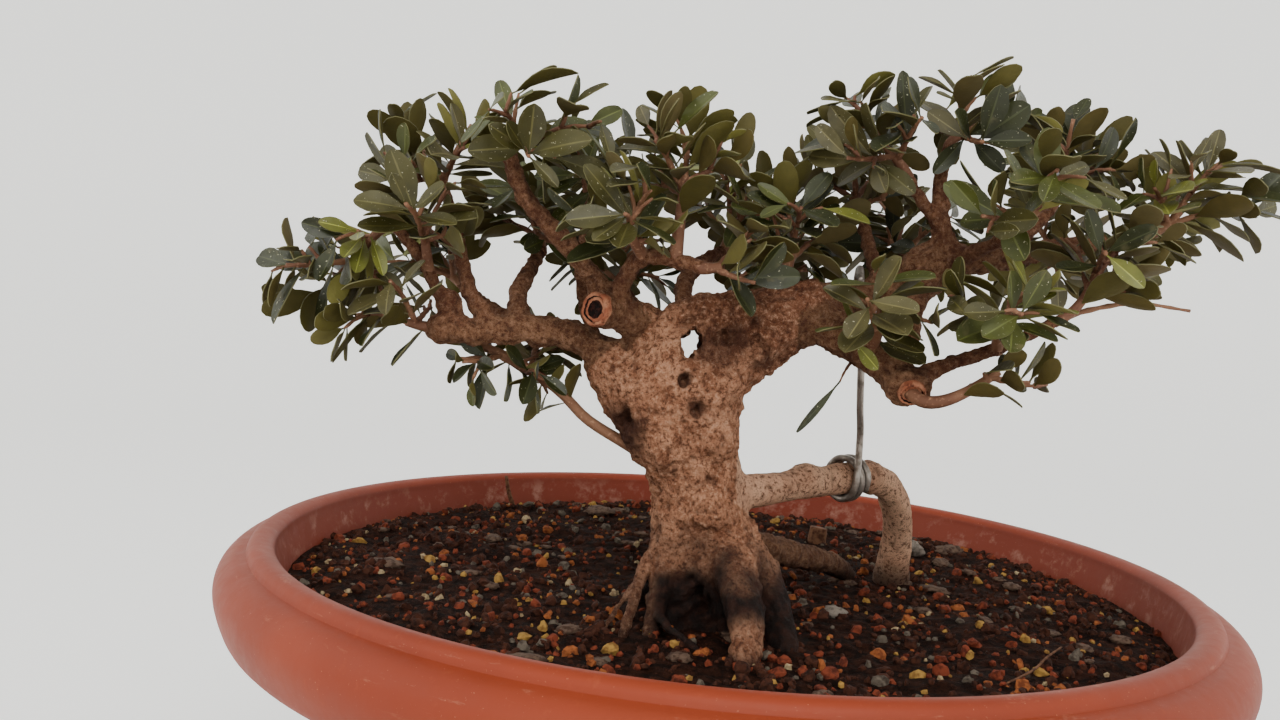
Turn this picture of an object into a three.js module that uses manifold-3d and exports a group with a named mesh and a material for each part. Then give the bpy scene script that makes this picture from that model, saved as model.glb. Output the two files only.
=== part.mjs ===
// Potted dwarf olive: a bonsai with a stout, corky trunk in a round bowl pot.
// Millimetres, +Z up. The origin is the centre of the pot's flat underside, and -Y is the tree's front.
import * as THREE from 'three';
import { mergeVertices } from 'three/addons/utils/BufferGeometryUtils.js';
import Module from 'manifold-3d';

const wasm = await Module();
wasm.setup();

// Driving sizes
const POT_HEIGHT = 165;
const RIM_RADIUS = 180;
const LIP_RADIUS = 161.5;
const BODY_RADIUS = 152;
const BASE_RADIUS = 104;
const WALL = 4;
const FLOOR = 5;
const RIM_DEPTH = 28;
const POT_SIDES = 32;
const DRAIN_HOLES = 4;
const DRAIN_RADIUS = 6;
const DRAIN_RING = 62;
const DRAIN_SIDES = 8;
const FOOT_ROUND = 3;
const SHOULDER_FLARE = 4;
const INNER_FLARE = 6;

// The filling: its level below the lip, and how it falls a little towards the wall
const SOIL_DROP = 14;
const SOIL_EDGE_FALL = 1.5;
const SOIL_EDGE_WIDTH = 18;
const LIP_SLOPE = 2.2;

// Low heaps in its top, which stays level at the feet of the tree and of the low arch.
// A level spot is [x, y, radius that stays level, radius where the heaps are whole].
const HEAP_HEIGHT = 3.5;
const HEAP_SPACING = 36;
const HEAP_SKEW = 0.35;
const HEAP_RINGS = 6;
const LEVEL_SPOTS = [[-7, -63, 58, 92], [67, 17, 30, 60]];

// The tree stands left of the middle and well in front of it, and is measured from this point on the soil
const TREE = new THREE.Vector3(-12, -60, POT_HEIGHT - SOIL_DROP);
const TRUNK_SIDES = 11;
const GROUND_WIDTH = 300;
const GROUND_DEPTH = 40;

// The saw cut's dark heart
const HEART_RADIUS = 2.8;
const HEART_FLOOR_RADIUS = 2.2;
const HEART_DEPTH = 4;

// Clear space kept between two solids that meet
const GAP = 0.3;

// Guy wire and its turns round the low arch; places along the arch are shares of its length
const WIRE_RADIUS = 1.25;
const WIRE_TURNS = 2;
const WIRE_TURN_POINTS = 7;
const WIRE_START = 0.86;
const WIRE_PITCH = 0.1;
const WIRE_START_ANGLE = -0.6;
const WIRE_SIDES = 5;
const WIRE_STEPS = 40;

// Leaves of the solid crown, fewer and larger than life. Widths are shares of a length, openings are radians.
const LEAF_LENGTH = 22;
const LEAF_WIDTH = 0.6;
const LEAF_THICKNESS = 1.1;
const LEAF_SIZE_LEAST = 0.8;
const LEAF_SIZE_SPREAD = 0.3;
const TIP_OPENING = 0.5;
const SIDE_OPENING = 0.9;
const OPENING_SPREAD = 0.35;
const LEAFY_SHARE = 0.85;
const TIP_INSET = 0.7;
const BLADE_GAP = 0.8;
const BLADE_STEPS = 9;
const LEAF_LIMB_GAP = 1.2;
const LEAF_TWIG_GAP = 0.6;

// Turn in radians and size of each try to fit a leaf
const LEAF_TRIES = [[0, 1], [0.5, 1], [-0.5, 0.95], [0.9, 0.85], [-0.9, 0.8], [0, 0.7]];

// Twigs of a mass: where they leave the stem, and how far towards the mass's edge they reach
const SHOOT_RADIUS = 0.75;
const SHOOT_TIP_RADIUS = 0.5;
const SHOOT_LIMB_GAP = 0.8;
const SHOOT_SHARE = 6.2;
const SHOOT_FIRST = 0.4;
const SHOOT_FIRST_SPREAD = 0.55;
const SHOOT_REACH = 0.5;
const SHOOT_REACH_SPREAD = 0.2;
const SHOOT_FAN = 1.7;
const NODE_SPACING = 7.2;
const STEM_RADIUS = 2.2;
const STEM_TIP_RADIUS = 1.5;
const STEM_SHORTFALL = 0.2;
const STEM_BEND = 0.45;
const STEM_LINKS = 4;
const CROWN_SQUASH = 1.2;
const FIRST_SEED = 11;
const SEED_STEP = 7;
const GOLDEN_ANGLE = Math.PI * (3 - Math.sqrt(5));

const ALONG = new THREE.Vector3(0, 1, 0);
const UP = new THREE.Vector3(0, 0, 1);

// Finishes
const finish = (color, roughness, metalness = 0) =>
  new THREE.MeshStandardMaterial({ color, roughness, metalness });
const TERRACOTTA = finish(0xa8563f, 0.55);
const SOIL = finish(0x33241d, 0.95);
const BARK = finish(0x9a7460, 0.9);
const MOIST_BARK = finish(0x6b4c3c, 0.85);
const FOLIAGE = finish(0x3e4d2a, 0.45);
const WIRE = finish(0x8d8a86, 0.4, 0.9);

const tree = new THREE.Group();
tree.position.copy(TREE);
const model = new THREE.Group();
model.add(tree);

// Solids and booleans

function solid(geometry) {
  const bare = geometry.index ? geometry.toNonIndexed() : geometry.clone();
  bare.deleteAttribute('normal');
  bare.deleteAttribute('uv');
  const merged = mergeVertices(bare, 1e-4);
  const kept = [];
  const index = merged.index.array;
  for (let i = 0; i < index.length; i += 3) {
    const [a, b, c] = [index[i], index[i + 1], index[i + 2]];
    if (a !== b && b !== c && c !== a) kept.push(a, b, c);
  }
  const made = new wasm.Manifold(new wasm.Mesh({
    numProp: 3,
    vertProperties: merged.attributes.position.array,
    triVerts: new Uint32Array(kept),
  }));
  if (made.volume() >= 0) return made;
  for (let i = 0; i < kept.length; i += 3) [kept[i], kept[i + 1]] = [kept[i + 1], kept[i]];
  return new wasm.Manifold(new wasm.Mesh({
    numProp: 3,
    vertProperties: merged.attributes.position.array,
    triVerts: new Uint32Array(kept),
  }));
}

function largest(body) {
  const pieces = body.decompose();
  pieces.sort((a, b) => b.volume() - a.volume());
  return pieces[0];
}

function place(name, body, material, group = tree) {
  const { vertProperties, triVerts } = largest(body).getMesh();
  const geometry = new THREE.BufferGeometry();
  geometry.setAttribute('position', new THREE.BufferAttribute(new Float32Array(vertProperties), 3));
  geometry.setIndex(new THREE.BufferAttribute(new Uint32Array(triVerts), 1));
  geometry.computeVertexNormals();
  const mesh = new THREE.Mesh(geometry, material);
  mesh.name = name;
  group.add(mesh);
}

// Tapered limbs: a lathed rod bent along a curve

const vector = ([x, y, z]) => new THREE.Vector3(x, y, z);

function mix(values, t) {
  const at = t * (values.length - 1);
  const i = Math.min(Math.floor(at), values.length - 2);
  return values[i] + (values[i + 1] - values[i]) * (at - i);
}

function rod(curve, radii, sides, steps, grow = 0) {
  const profile = [new THREE.Vector2(0, 0)];
  for (let i = 0; i <= steps; i += 1) profile.push(new THREE.Vector2(1, i / steps));
  profile.push(new THREE.Vector2(0, 1));
  const geometry = new THREE.LatheGeometry(profile, sides);
  const frames = curve.computeFrenetFrames(steps, false);
  const centres = [];
  for (let i = 0; i <= steps; i += 1) centres.push(curve.getPointAt(i / steps));
  centres[0].addScaledVector(frames.tangents[0], -grow);
  centres[steps].addScaledVector(frames.tangents[steps], grow);
  const position = geometry.attributes.position;
  for (let i = 0; i < position.count; i += 1) {
    const t = position.getY(i);
    const ring = Math.round(t * steps);
    const radius = mix(radii, t) + grow;
    const point = centres[ring].clone();
    point.addScaledVector(frames.normals[ring], position.getX(i) * radius);
    point.addScaledVector(frames.binormals[ring], position.getZ(i) * radius);
    position.setXYZ(i, point.x, point.y, point.z);
  }
  return solid(geometry);
}

function limbOf({ points, radii, sides = 5, steps }) {
  const curve = new THREE.CatmullRomCurve3(points.map(vector), false, 'centripetal');
  const count = steps ?? Math.max(3, points.length - 1);
  const shape = (grow = 0) => rod(curve, radii, sides, count, grow);
  return { curve, radii, steps: count, shape };
}

// A stack of level oval sections, for the trunk
function stack(sections, sides, grow = 0) {
  const profile = [new THREE.Vector2(0, 0)];
  sections.forEach((_, i) => profile.push(new THREE.Vector2(1, i)));
  profile.push(new THREE.Vector2(0, sections.length - 1));
  const geometry = new THREE.LatheGeometry(profile, sides);
  const position = geometry.attributes.position;
  for (let i = 0; i < position.count; i += 1) {
    const [x, y, z, wide, deep] = sections[Math.round(position.getY(i))];
    position.setXYZ(
      i,
      x + position.getX(i) * (wide + grow),
      y + position.getZ(i) * (deep + grow),
      z,
    );
  }
  return solid(geometry);
}

// Pot and soil

function potProfile() {
  const under = POT_HEIGHT - RIM_DEPTH;
  const rise = (radius, drop) => new THREE.Vector2(radius, POT_HEIGHT - drop);
  const band = new THREE.SplineCurve([
    rise(RIM_RADIUS - 9, RIM_DEPTH), rise(RIM_RADIUS - 2, RIM_DEPTH - 6), rise(RIM_RADIUS, 14),
    rise(RIM_RADIUS - 1.5, 8), rise(RIM_RADIUS - 6, 3.6), rise(RIM_RADIUS - 9, 2.6),
  ]).getPoints(5);
  const bead = new THREE.SplineCurve([
    rise(RIM_RADIUS - 10, 1.2), rise(RIM_RADIUS - 13.5, 0),
    rise(LIP_RADIUS + 1.5, 0.8), rise(LIP_RADIUS, 3.5),
  ]).getPoints(3);
  return [
    new THREE.Vector2(0, 0),
    new THREE.Vector2(BASE_RADIUS - FOOT_ROUND, 0),
    new THREE.Vector2(BASE_RADIUS, FOOT_ROUND),
    new THREE.Vector2(BODY_RADIUS, under - FOOT_ROUND),
    new THREE.Vector2(BODY_RADIUS + SHOULDER_FLARE, under),
    ...band,
    ...bead,
    new THREE.Vector2(BODY_RADIUS - WALL + INNER_FLARE, under - FOOT_ROUND),
    new THREE.Vector2(BASE_RADIUS - WALL, FLOOR + FOOT_ROUND),
    new THREE.Vector2(BASE_RADIUS - WALL - FOOT_ROUND, FLOOR),
    new THREE.Vector2(0, FLOOR),
  ];
}

// Lathes turn about Y, and the pot stands along Z
const upright = (profile, sides) => new THREE.LatheGeometry(profile, sides).rotateX(Math.PI / 2);

function buildPot() {
  let pot = solid(upright(potProfile(), POT_SIDES));
  for (let i = 0; i < DRAIN_HOLES; i += 1) {
    const turn = (2 * Math.PI * i) / DRAIN_HOLES;
    const hole = new THREE.CylinderGeometry(DRAIN_RADIUS, DRAIN_RADIUS, 4 * FLOOR, DRAIN_SIDES);
    hole.rotateX(Math.PI / 2).translate(DRAIN_RING * Math.cos(turn), DRAIN_RING * Math.sin(turn), 0);
    pot = pot.subtract(solid(hole));
  }
  place('pot', pot, TERRACOTTA, model);
}

// Height of the filling's heaps over its level, from two crossing waves
function heapAt(x, y) {
  const ridge = Math.sin((Math.PI * (x + HEAP_SKEW * y)) / HEAP_SPACING);
  const furrow = Math.sin((Math.PI * (y - HEAP_SKEW * x)) / HEAP_SPACING);
  let height = 0.5 * HEAP_HEIGHT * (1 + ridge * furrow);
  for (const [spotX, spotY, level, whole] of LEVEL_SPOTS) {
    height *= THREE.MathUtils.smoothstep(Math.hypot(x - spotX, y - spotY), level, whole);
  }
  return height;
}

function buildSoil() {
  const under = POT_HEIGHT - RIM_DEPTH;
  const top = POT_HEIGHT - SOIL_DROP;
  const clear = 2 * GAP;
  const lipWall = LIP_RADIUS - LIP_SLOPE;
  const heaped = lipWall - SOIL_EDGE_WIDTH;
  const profile = [
    new THREE.Vector2(0, FLOOR + GAP),
    new THREE.Vector2(BASE_RADIUS - WALL - FOOT_ROUND - clear, FLOOR + GAP),
    new THREE.Vector2(BASE_RADIUS - WALL - clear, FLOOR + FOOT_ROUND + GAP),
    new THREE.Vector2(BODY_RADIUS - WALL + INNER_FLARE - clear, under - FOOT_ROUND),
    new THREE.Vector2(lipWall - clear, top - SOIL_EDGE_FALL),
  ];
  for (let ring = HEAP_RINGS; ring >= 0; ring -= 1) {
    profile.push(new THREE.Vector2((heaped * ring) / HEAP_RINGS, top));
  }
  const filling = upright(profile, POT_SIDES);
  const position = filling.attributes.position;
  for (let i = 0; i < position.count; i += 1) {
    const out = Math.hypot(position.getX(i), position.getY(i));
    if (position.getZ(i) < top - GAP || out > heaped + GAP) continue;
    position.setZ(i, top + heapAt(position.getX(i), position.getY(i)));
  }
  place('soil', solid(filling), SOIL, model);
}

// Trunk: level sections from the soil to the fork, with roots, shoulders and an eye under an arch.
// Each section is [x, y, z, half width, half depth].
const TRUNK_SECTIONS = [
  [5, 0, -4, 20, 18], [5, 0, 6, 18.5, 17], [3, 0, 16, 17, 16], [0, 0, 27, 16, 15.4], [-1, 0, 38, 15.6, 15],
  [-4, 0, 48, 16.5, 15.5], [-8, 0, 57, 18.5, 16.5], [-11, 0, 66, 22, 17.5], [-11, 0, 75, 24, 17.5],
  [-8, 0, 83, 26, 16.5], [-3, 0, 90, 26, 15], [4, 0, 96, 19, 13], [8, 0, 102, 12, 9],
];
// What is joined to it, each a limb: the left shoulder, the arch over the eye, the right fork, the stub's
// shoulder, and six roots that run out over the soil and end under its level.
const TRUNK_PARTS = [
  { points: [[-14, 0, 62], [-26, 0, 72], [-33, 0, 80]], radii: [13, 10.5, 6.5], sides: 7, steps: 2 },
  { points: [[-12, 0, 78], [-18, 0, 90], [-16, 0, 97], [-9, 0, 101], [-1, 0, 102], [9, 0, 99]],
    radii: [6, 4, 3.2, 3.2, 4.2, 8], sides: 6, steps: 6 },
  { points: [[4, 0, 88], [18, -1, 97], [29, -3, 102]], radii: [14, 12, 9.5], sides: 7, steps: 2 },
  { points: [[-17, -2, 84], [-22, -3, 93], [-27, -6, 96]], radii: [7, 6, 5.6], sides: 7, steps: 2 },
  { points: [[8, -6, 26], [11, -20, 18], [13, -33, 8], [12, -46, -4]],
    radii: [9, 6.5, 5, 3.8], sides: 6, steps: 3 },
  { points: [[10, -4, 26], [18, -9, 17], [24, -18, 7], [27, -30, -4]],
    radii: [9, 7, 5, 3.6], sides: 6, steps: 3 },
  { points: [[-7, -4, 30], [-11, -10, 18], [-13, -15, 7], [-15, -22, -4]], radii: [6, 4, 3, 2.2], steps: 3 },
  { points: [[-5, 2, 22], [-11, 9, 12], [-15, 16, 4], [-19, 24, -4]], radii: [8, 6, 4.4, 3], steps: 3 },
  { points: [[0, 4, 26], [-2, 18, 15], [-3, 28, 6], [-4, 40, -4]], radii: [9, 6.5, 4.6, 3.2], steps: 3 },
  { points: [[8, 2, 22], [15, 13, 12], [22, 22, 4], [30, 30, -4]], radii: [8, 6, 4.2, 3], steps: 3 },
];
// Hollows cut into the front: [x, y, z, half width, half depth, half height, lean in degrees]
const TRUNK_HOLLOWS = [
  [-8, 0, 89, 3.1, 30, 5, 20], [-9, -17, 78, 2, 5, 2, 0], [-5, -17.5, 69, 3, 5, 2.6, 0],
  [13, -15, 90, 3.4, 6, 2.6, -35], [-1, -20, 5, 7, 9, 12, 0],
];

function trunkShape(grow) {
  let trunk = stack(TRUNK_SECTIONS, TRUNK_SIDES, grow);
  for (const part of TRUNK_PARTS) trunk = trunk.add(limbOf(part).shape(grow));
  return trunk;
}

function ground() {
  const block = new THREE.BoxGeometry(GROUND_WIDTH, GROUND_WIDTH, GROUND_DEPTH);
  return solid(block.translate(0, 0, GAP - GROUND_DEPTH / 2));
}

function buildTrunk() {
  let trunk = trunkShape(0);
  for (const [x, y, z, wide, deep, high, lean] of TRUNK_HOLLOWS) {
    const hollow = new THREE.SphereGeometry(1, 7, 5).scale(wide, deep, high);
    hollow.rotateY(THREE.MathUtils.degToRad(lean)).translate(x, y, z);
    trunk = trunk.subtract(solid(hollow));
  }
  place('trunk', trunk.subtract(ground()), BARK);
}

// Limbs: points of the centre line from the parent outwards, with the radii from root to tip.
// Each is cut clear of what it grows on, and of anything else that it meets, all listed under on.
const LIMBS = {
  low_arch_run: {
    on: ['trunk'], radii: [5.6, 5.2, 5.2, 5.3, 5.4], sides: 8,
    points: [[8, 0, 41], [17, 5, 42], [34, 17, 43.5], [52, 31, 45], [63, 40, 45]],
  },
  low_arch_foot: {
    on: ['low_arch_run', 'ground'], radii: [5.4, 5.3, 5.4, 6, 7.4], sides: 8,
    points: [[63, 40, 45], [72, 48, 41], [78, 55, 32], [81, 62, 20], [82, 68, 8], [83, 74, -4]],
  },
  side_root: {
    on: ['trunk', 'ground'], radii: [5.4, 4.4, 3.9, 3], sides: 7,
    points: [[8, 2, 25], [22, 11, 22], [38, 26, 17], [52, 46, 11], [62, 66, 4], [70, 84, -4]],
  },
  left_bough: {
    on: ['trunk'], radii: [6.4, 4.9, 4.6, 4.4, 4.1, 3.2], sides: 8,
    points: [[-31, 0, 77], [-38, 0, 85], [-48, -2, 89], [-63, -5, 90], [-75, -8, 88], [-87, -10, 88]],
  },
  cut_stub: {
    on: ['trunk'], radii: [5.5, 5.2, 5.6], sides: 10,
    points: [[-25, -5, 95], [-32, -10, 97], [-38.5, -18, 97.5]],
  },
  left_riser: {
    on: ['cut_stub'], radii: [4, 3.2, 2.9, 2.6, 2.3],
    points: [
      [-34, -12, 98], [-39, -13, 106], [-51, -17, 119], [-60, -20, 127], [-65, -20, 135], [-68, -21, 143],
    ],
  },
  centre_riser: {
    on: ['cut_stub', 'left_riser'], radii: [3.2, 2.6, 2.4, 2.2],
    points: [[-33, -11, 98], [-30, -17, 108], [-25, -22, 114], [-17, -25, 114], [-8, -28, 112]],
  },
  left_bough_front_twig: {
    on: ['left_bough'], radii: [2.6, 2, 1.7],
    points: [[-79, -9, 88], [-87, -12, 98], [-93, -12, 108], [-101, -12, 117]],
  },
  left_bough_upper_twig: {
    on: ['left_bough'], radii: [2.9, 2.2, 1.7],
    points: [[-71, -7, 89], [-78, -6, 98], [-82, -5, 108], [-86, -4, 122], [-89, -4, 130]],
  },
  left_bough_inner_branch: {
    on: ['left_bough'], radii: [3.4, 2.8, 2.1],
    points: [[-63, -5, 90], [-65, 3, 101], [-63, 14, 110], [-61, 25, 117]],
  },
  left_back_limb: {
    on: ['left_bough'], radii: [3, 2.4, 1.9],
    points: [[-56, -3, 90], [-68, 12, 93], [-80, 24, 98], [-89, 31, 104]],
  },
  shoulder_riser: {
    on: ['trunk'], radii: [2.8, 2.2, 1.7],
    points: [[-24, 9, 76], [-34, 15, 82], [-42, 17, 94], [-46, 18, 108], [-46, 18, 122]],
  },
  crotch_riser: {
    on: ['trunk'], radii: [3.2, 2.6, 2],
    points: [[-10, 2, 98], [-11, 10, 108], [-6, 20, 116], [2, 31, 122]],
  },
  back_left_bough: {
    on: ['trunk'], radii: [5.5, 4.2, 2.8], sides: 8,
    points: [[-18, 6, 82], [-21, 20, 89], [-25, 36, 97], [-31, 50, 105]],
  },
  back_right_bough: {
    on: ['trunk'], radii: [5.2, 4, 2.6], sides: 8,
    points: [[15, 4, 90], [18, 20, 98], [22, 38, 106], [26, 52, 112]],
  },
  right_high_bough: {
    on: ['trunk'], radii: [8.6, 6.4, 5.6, 5.6, 6.4, 5.4], sides: 9,
    points: [[27, -3, 102], [36, 1, 105], [47, 4, 108], [57, 2, 112], [65, -3, 117], [71, -8, 122]],
  },
  right_low_bough: {
    on: ['trunk', 'right_high_bough'], radii: [7.6, 7, 5.8, 5, 4.4], sides: 8,
    points: [[28, -3, 100], [37, -8, 97], [47, -14, 90.5], [54, -20, 84.5], [58, -27, 79]],
  },
  right_upright: {
    on: ['right_low_bough', 'right_high_bough'], radii: [3.8, 3, 3.2],
    points: [[53, -20, 86], [57, -19, 94], [60, -14, 104], [64, -9, 113]],
  },
  right_crest_limb: {
    on: ['right_high_bough'], radii: [3.8, 2.8, 2.2, 1.8],
    points: [[70, -7, 121], [68, -8, 134], [66, -10, 146], [67, -13, 156]],
  },
  right_top_limb: {
    on: ['right_crest_limb'], radii: [2.4, 1.9, 1.6],
    points: [[68, -8, 132], [60, -12, 139], [54, -16, 146]],
  },
  right_far_limb: {
    on: ['right_high_bough', 'right_crest_limb'], radii: [4.6, 3.6, 3, 2.4], sides: 7,
    points: [[70, -7, 121], [82, -8, 122], [98, -4, 126], [116, 0, 130], [134, 4, 133]],
  },
  right_back_limb: {
    on: ['right_far_limb'], radii: [2.8, 2.2, 1.7],
    points: [[90, -6, 124], [100, 6, 132], [110, 13, 142]],
  },
  right_low_limb: {
    on: ['right_low_bough', 'right_upright'], radii: [2.8, 2.2, 1.9, 1.6],
    points: [[56, -22, 82], [70, -24, 89], [84, -25.5, 95], [100, -26, 104]],
  },
  right_front_limb: {
    on: ['right_high_bough', 'right_far_limb'], radii: [2.6, 2, 1.7],
    points: [[72, -8, 121], [79, -20, 125], [86, -30, 131]],
  },
  back_far_limb: {
    on: ['right_high_bough'], radii: [4, 3, 2.2],
    points: [[60, 1, 114], [62, 16, 117], [67, 34, 124]],
  },
  back_top_limb: {
    on: ['right_high_bough', 'back_far_limb'], radii: [3, 2.4, 1.8],
    points: [[54, 2, 111], [51, 9, 122], [48, 17, 136]],
  },
};

const limbs = {};

function buildLimbs() {
  for (const [name, plan] of Object.entries(LIMBS)) limbs[name] = limbOf(plan);
  for (const [name, plan] of Object.entries(LIMBS)) {
    let body = limbs[name].shape();
    for (const other of plan.on) {
      if (other === 'trunk') body = body.subtract(trunkShape(GAP));
      else if (other === 'ground') body = body.subtract(ground());
      else body = body.subtract(limbs[other].shape(GAP));
    }
    if (name === 'cut_stub') body = body.subtract(cutHeart());
    place(name, body, name === 'side_root' ? MOIST_BARK : BARK);
  }
}

// The dark heart of the big saw cut, sunk into its face
function cutHeart() {
  const { curve } = limbs.cut_stub;
  const heart = new THREE.CylinderGeometry(HEART_RADIUS, HEART_FLOOR_RADIUS, HEART_DEPTH, 9);
  heart.applyQuaternion(new THREE.Quaternion().setFromUnitVectors(ALONG, curve.getTangentAt(1)));
  return solid(heart.translate(...curve.getPointAt(1).toArray()));
}

// Guy wire: turns round the low arch, then up to a hook over the high bough
const WIRE_RISE = [
  [55, 24, 60], [53, 19, 72], [51, 14, 88], [49, 12, 102], [47, 11, 112], [46, 4, 117.5], [45, -4, 113],
];

function wirePoints() {
  const { curve, radii } = limbs.low_arch_run;
  const points = [];
  const reach = radii.at(-1) + WIRE_RADIUS + 2 * GAP;
  const count = WIRE_TURNS * WIRE_TURN_POINTS;
  for (let i = 0; i <= count; i += 1) {
    const along = WIRE_START - (WIRE_PITCH * i) / count;
    const centre = curve.getPointAt(along);
    const ahead = curve.getTangentAt(along);
    const side = new THREE.Vector3().crossVectors(ahead, UP).normalize();
    const over = new THREE.Vector3().crossVectors(side, ahead);
    const angle = (2 * Math.PI * i) / WIRE_TURN_POINTS + WIRE_START_ANGLE;
    centre.addScaledVector(side, reach * Math.cos(angle));
    centre.addScaledVector(over, reach * Math.sin(angle));
    points.push(centre);
  }
  return points;
}

function buildWire() {
  const points = [...wirePoints(), ...WIRE_RISE.map(vector)];
  const route = new THREE.CatmullRomCurve3(points, false, 'centripetal');
  place('guy_wire', rod(route, [WIRE_RADIUS, WIRE_RADIUS], WIRE_SIDES, WIRE_STEPS), WIRE);
  return route;
}

// Foliage: each mass keeps to a ball of its own, squashed in height, and to its side of the plane between
// it and each neighbour. Its twigs and leaves come from the seeded rule below. Its stem leaves the limb that
// it is on at the share from of its length, which is the tip where none is given, or starts at root.
const MASSES = {
  left_front: { on: 'left_bough', at: [-102, -16, 90], reach: 27 },
  far_left: { on: 'left_bough_front_twig', at: [-120, -12, 101], reach: 28 },
  left_mid: { on: 'left_bough_front_twig', from: 0.6, at: [-93, -22, 124], reach: 24 },
  left_top: { on: 'left_bough_upper_twig', at: [-93, -2, 143], reach: 28 },
  left_crest: { on: 'left_riser', at: [-57, -24, 148], reach: 28 },
  left_back: { on: 'left_bough_inner_branch', at: [-66, 32, 130], reach: 30 },
  left_back_low: { on: 'left_back_limb', at: [-102, 36, 112], reach: 28 },
  shoulder_top: { on: 'shoulder_riser', at: [-42, 8, 143], reach: 28 },
  crotch_top: { on: 'crotch_riser', at: [6, 32, 139], reach: 28 },
  back_left: { on: 'back_left_bough', at: [-36, 62, 116], reach: 30 },
  back_right: { on: 'back_right_bough', at: [28, 66, 122], reach: 30 },
  centre_front: { on: 'centre_riser', from: 0.55, at: [-33, -38, 124], reach: 23 },
  centre_front_low: { on: 'centre_riser', at: [2, -34, 113], reach: 21 },
  centre_top: { on: 'centre_riser', from: 0.8, at: [-14, -22, 145], reach: 27 },
  right_inner: { on: 'trunk', root: [20, -2, 108], at: [24, -6, 130], reach: 25 },
  right_top: { on: 'right_top_limb', at: [44, -16, 156], reach: 27 },
  right_crest: { on: 'right_crest_limb', at: [76, -14, 163], reach: 27 },
  right_back_top: { on: 'right_back_limb', at: [118, 18, 159], reach: 29 },
  far_right: { on: 'right_far_limb', at: [154, 4, 147], reach: 29 },
  right_low_tip: { on: 'right_low_limb', at: [113, -26, 125], reach: 25 },
  right_low: { on: 'right_low_limb', from: 0.6, at: [77, -40, 104], reach: 23 },
  right_lowest: { on: 'right_low_bough', at: [83, -38, 89], reach: 19 },
  right_front: { on: 'right_low_bough', from: 0.55, at: [46, -36, 102], reach: 22 },
  right_mid_front: { on: 'right_front_limb', at: [84, -40, 138], reach: 26 },
  back_far: { on: 'back_far_limb', at: [72, 46, 132], reach: 30 },
  back_far_right: { on: 'right_far_limb', from: 0.7, at: [120, 42, 130], reach: 27 },
  back_top: { on: 'back_top_limb', at: [44, 22, 150], reach: 27 },
  trunk_shoot: {
    on: 'trunk', at: [-64, 3, 79], reach: 26, shoots: 4, leaf: 0.62,
    stem: [[-25, 2, 54], [-40, 3, 62], [-49, 3, 70], [-64, 3, 79], [-78, 3, 84]],
  },
};

const masses = Object.entries(MASSES).map(([name, plan], i) => ({
  name, plan, seed: FIRST_SEED + SEED_STEP * i, centre: vector(plan.at), reach: plan.reach,
}));

function random(seed) {
  let state = seed >>> 0;
  return () => {
    state = (state + 0x6d2b79f5) >>> 0;
    let t = state;
    t = Math.imul(t ^ (t >>> 15), t | 1);
    t ^= t + Math.imul(t ^ (t >>> 7), t | 61);
    return ((t ^ (t >>> 14)) >>> 0) / 4294967296;
  };
}

const squashed = (point) => new THREE.Vector3(point.x, point.y, point.z * CROWN_SQUASH);

// How far a point lies inside a mass's own space, in millimetres; negative is outside
function roomIn(mass, point) {
  const here = squashed(point);
  const centre = squashed(mass.centre);
  let room = mass.reach - here.distanceTo(centre);
  for (const other of masses) {
    if (other === mass) continue;
    const away = squashed(other.centre).sub(centre);
    const apart = away.length();
    if (apart > mass.reach + other.reach) continue;
    const wall = (apart * apart + mass.reach ** 2 - other.reach ** 2) / (2 * apart);
    room = Math.min(room, wall - here.clone().sub(centre).dot(away) / apart);
  }
  return room / CROWN_SQUASH;
}

// Everything that leaves keep clear of, as short round links
const links = [];

function addLinks(owner, curve, radii, steps) {
  for (let i = 0; i < steps; i += 1) {
    links.push({
      owner,
      line: new THREE.Line3(curve.getPointAt(i / steps), curve.getPointAt((i + 1) / steps)),
      radius: Math.max(mix(radii, i / steps), mix(radii, (i + 1) / steps)),
    });
  }
}

const nearest = new THREE.Vector3();

function distanceTo(line, point) {
  line.closestPointToPoint(point, true, nearest);
  return nearest.distanceTo(point);
}

function clearOfLimbs(point, margin, owner) {
  return links.every((link) => link.owner === owner || distanceTo(link.line, point) > link.radius + margin);
}

function stemOf(mass) {
  const { on, from = 1, root, stem } = mass.plan;
  if (stem) {
    const curve = new THREE.CatmullRomCurve3(stem.map(vector), false, 'centripetal');
    return { curve, radii: [1.9, STEM_TIP_RADIUS], steps: stem.length - 1 };
  }
  const limb = limbs[on];
  const start = root ? vector(root) : limb.curve.getPointAt(from);
  const out = mass.centre.clone().sub(start).normalize();
  const along = from === 1 && limb ? limb.curve.getTangentAt(1) : out;
  const size = limb ? mix(limb.radii, from) : STEM_RADIUS;
  const tip = mass.centre.clone().addScaledVector(out, -STEM_SHORTFALL * mass.reach);
  const bend = start.clone().addScaledVector(along, STEM_BEND * start.distanceTo(tip));
  const radius = THREE.MathUtils.clamp(size, STEM_TIP_RADIUS, STEM_RADIUS);
  if (from === 1 && limb) start.addScaledVector(along, GAP + 0.05);
  const curve = new THREE.QuadraticBezierCurve3(start, bend, tip);
  return { curve, radii: [radius, STEM_TIP_RADIUS], steps: 2 };
}

function leafBody({ base, ahead, side, length, width }) {
  const face = new THREE.Vector3().crossVectors(ahead, side);
  const middle = base.clone().addScaledVector(ahead, length / 2);
  const leaf = new THREE.OctahedronGeometry(1);
  leaf.scale(length / 2, width / 2, LEAF_THICKNESS / 2);
  leaf.applyMatrix4(new THREE.Matrix4().makeBasis(ahead, side, face).setPosition(middle));
  return solid(leaf);
}

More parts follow.
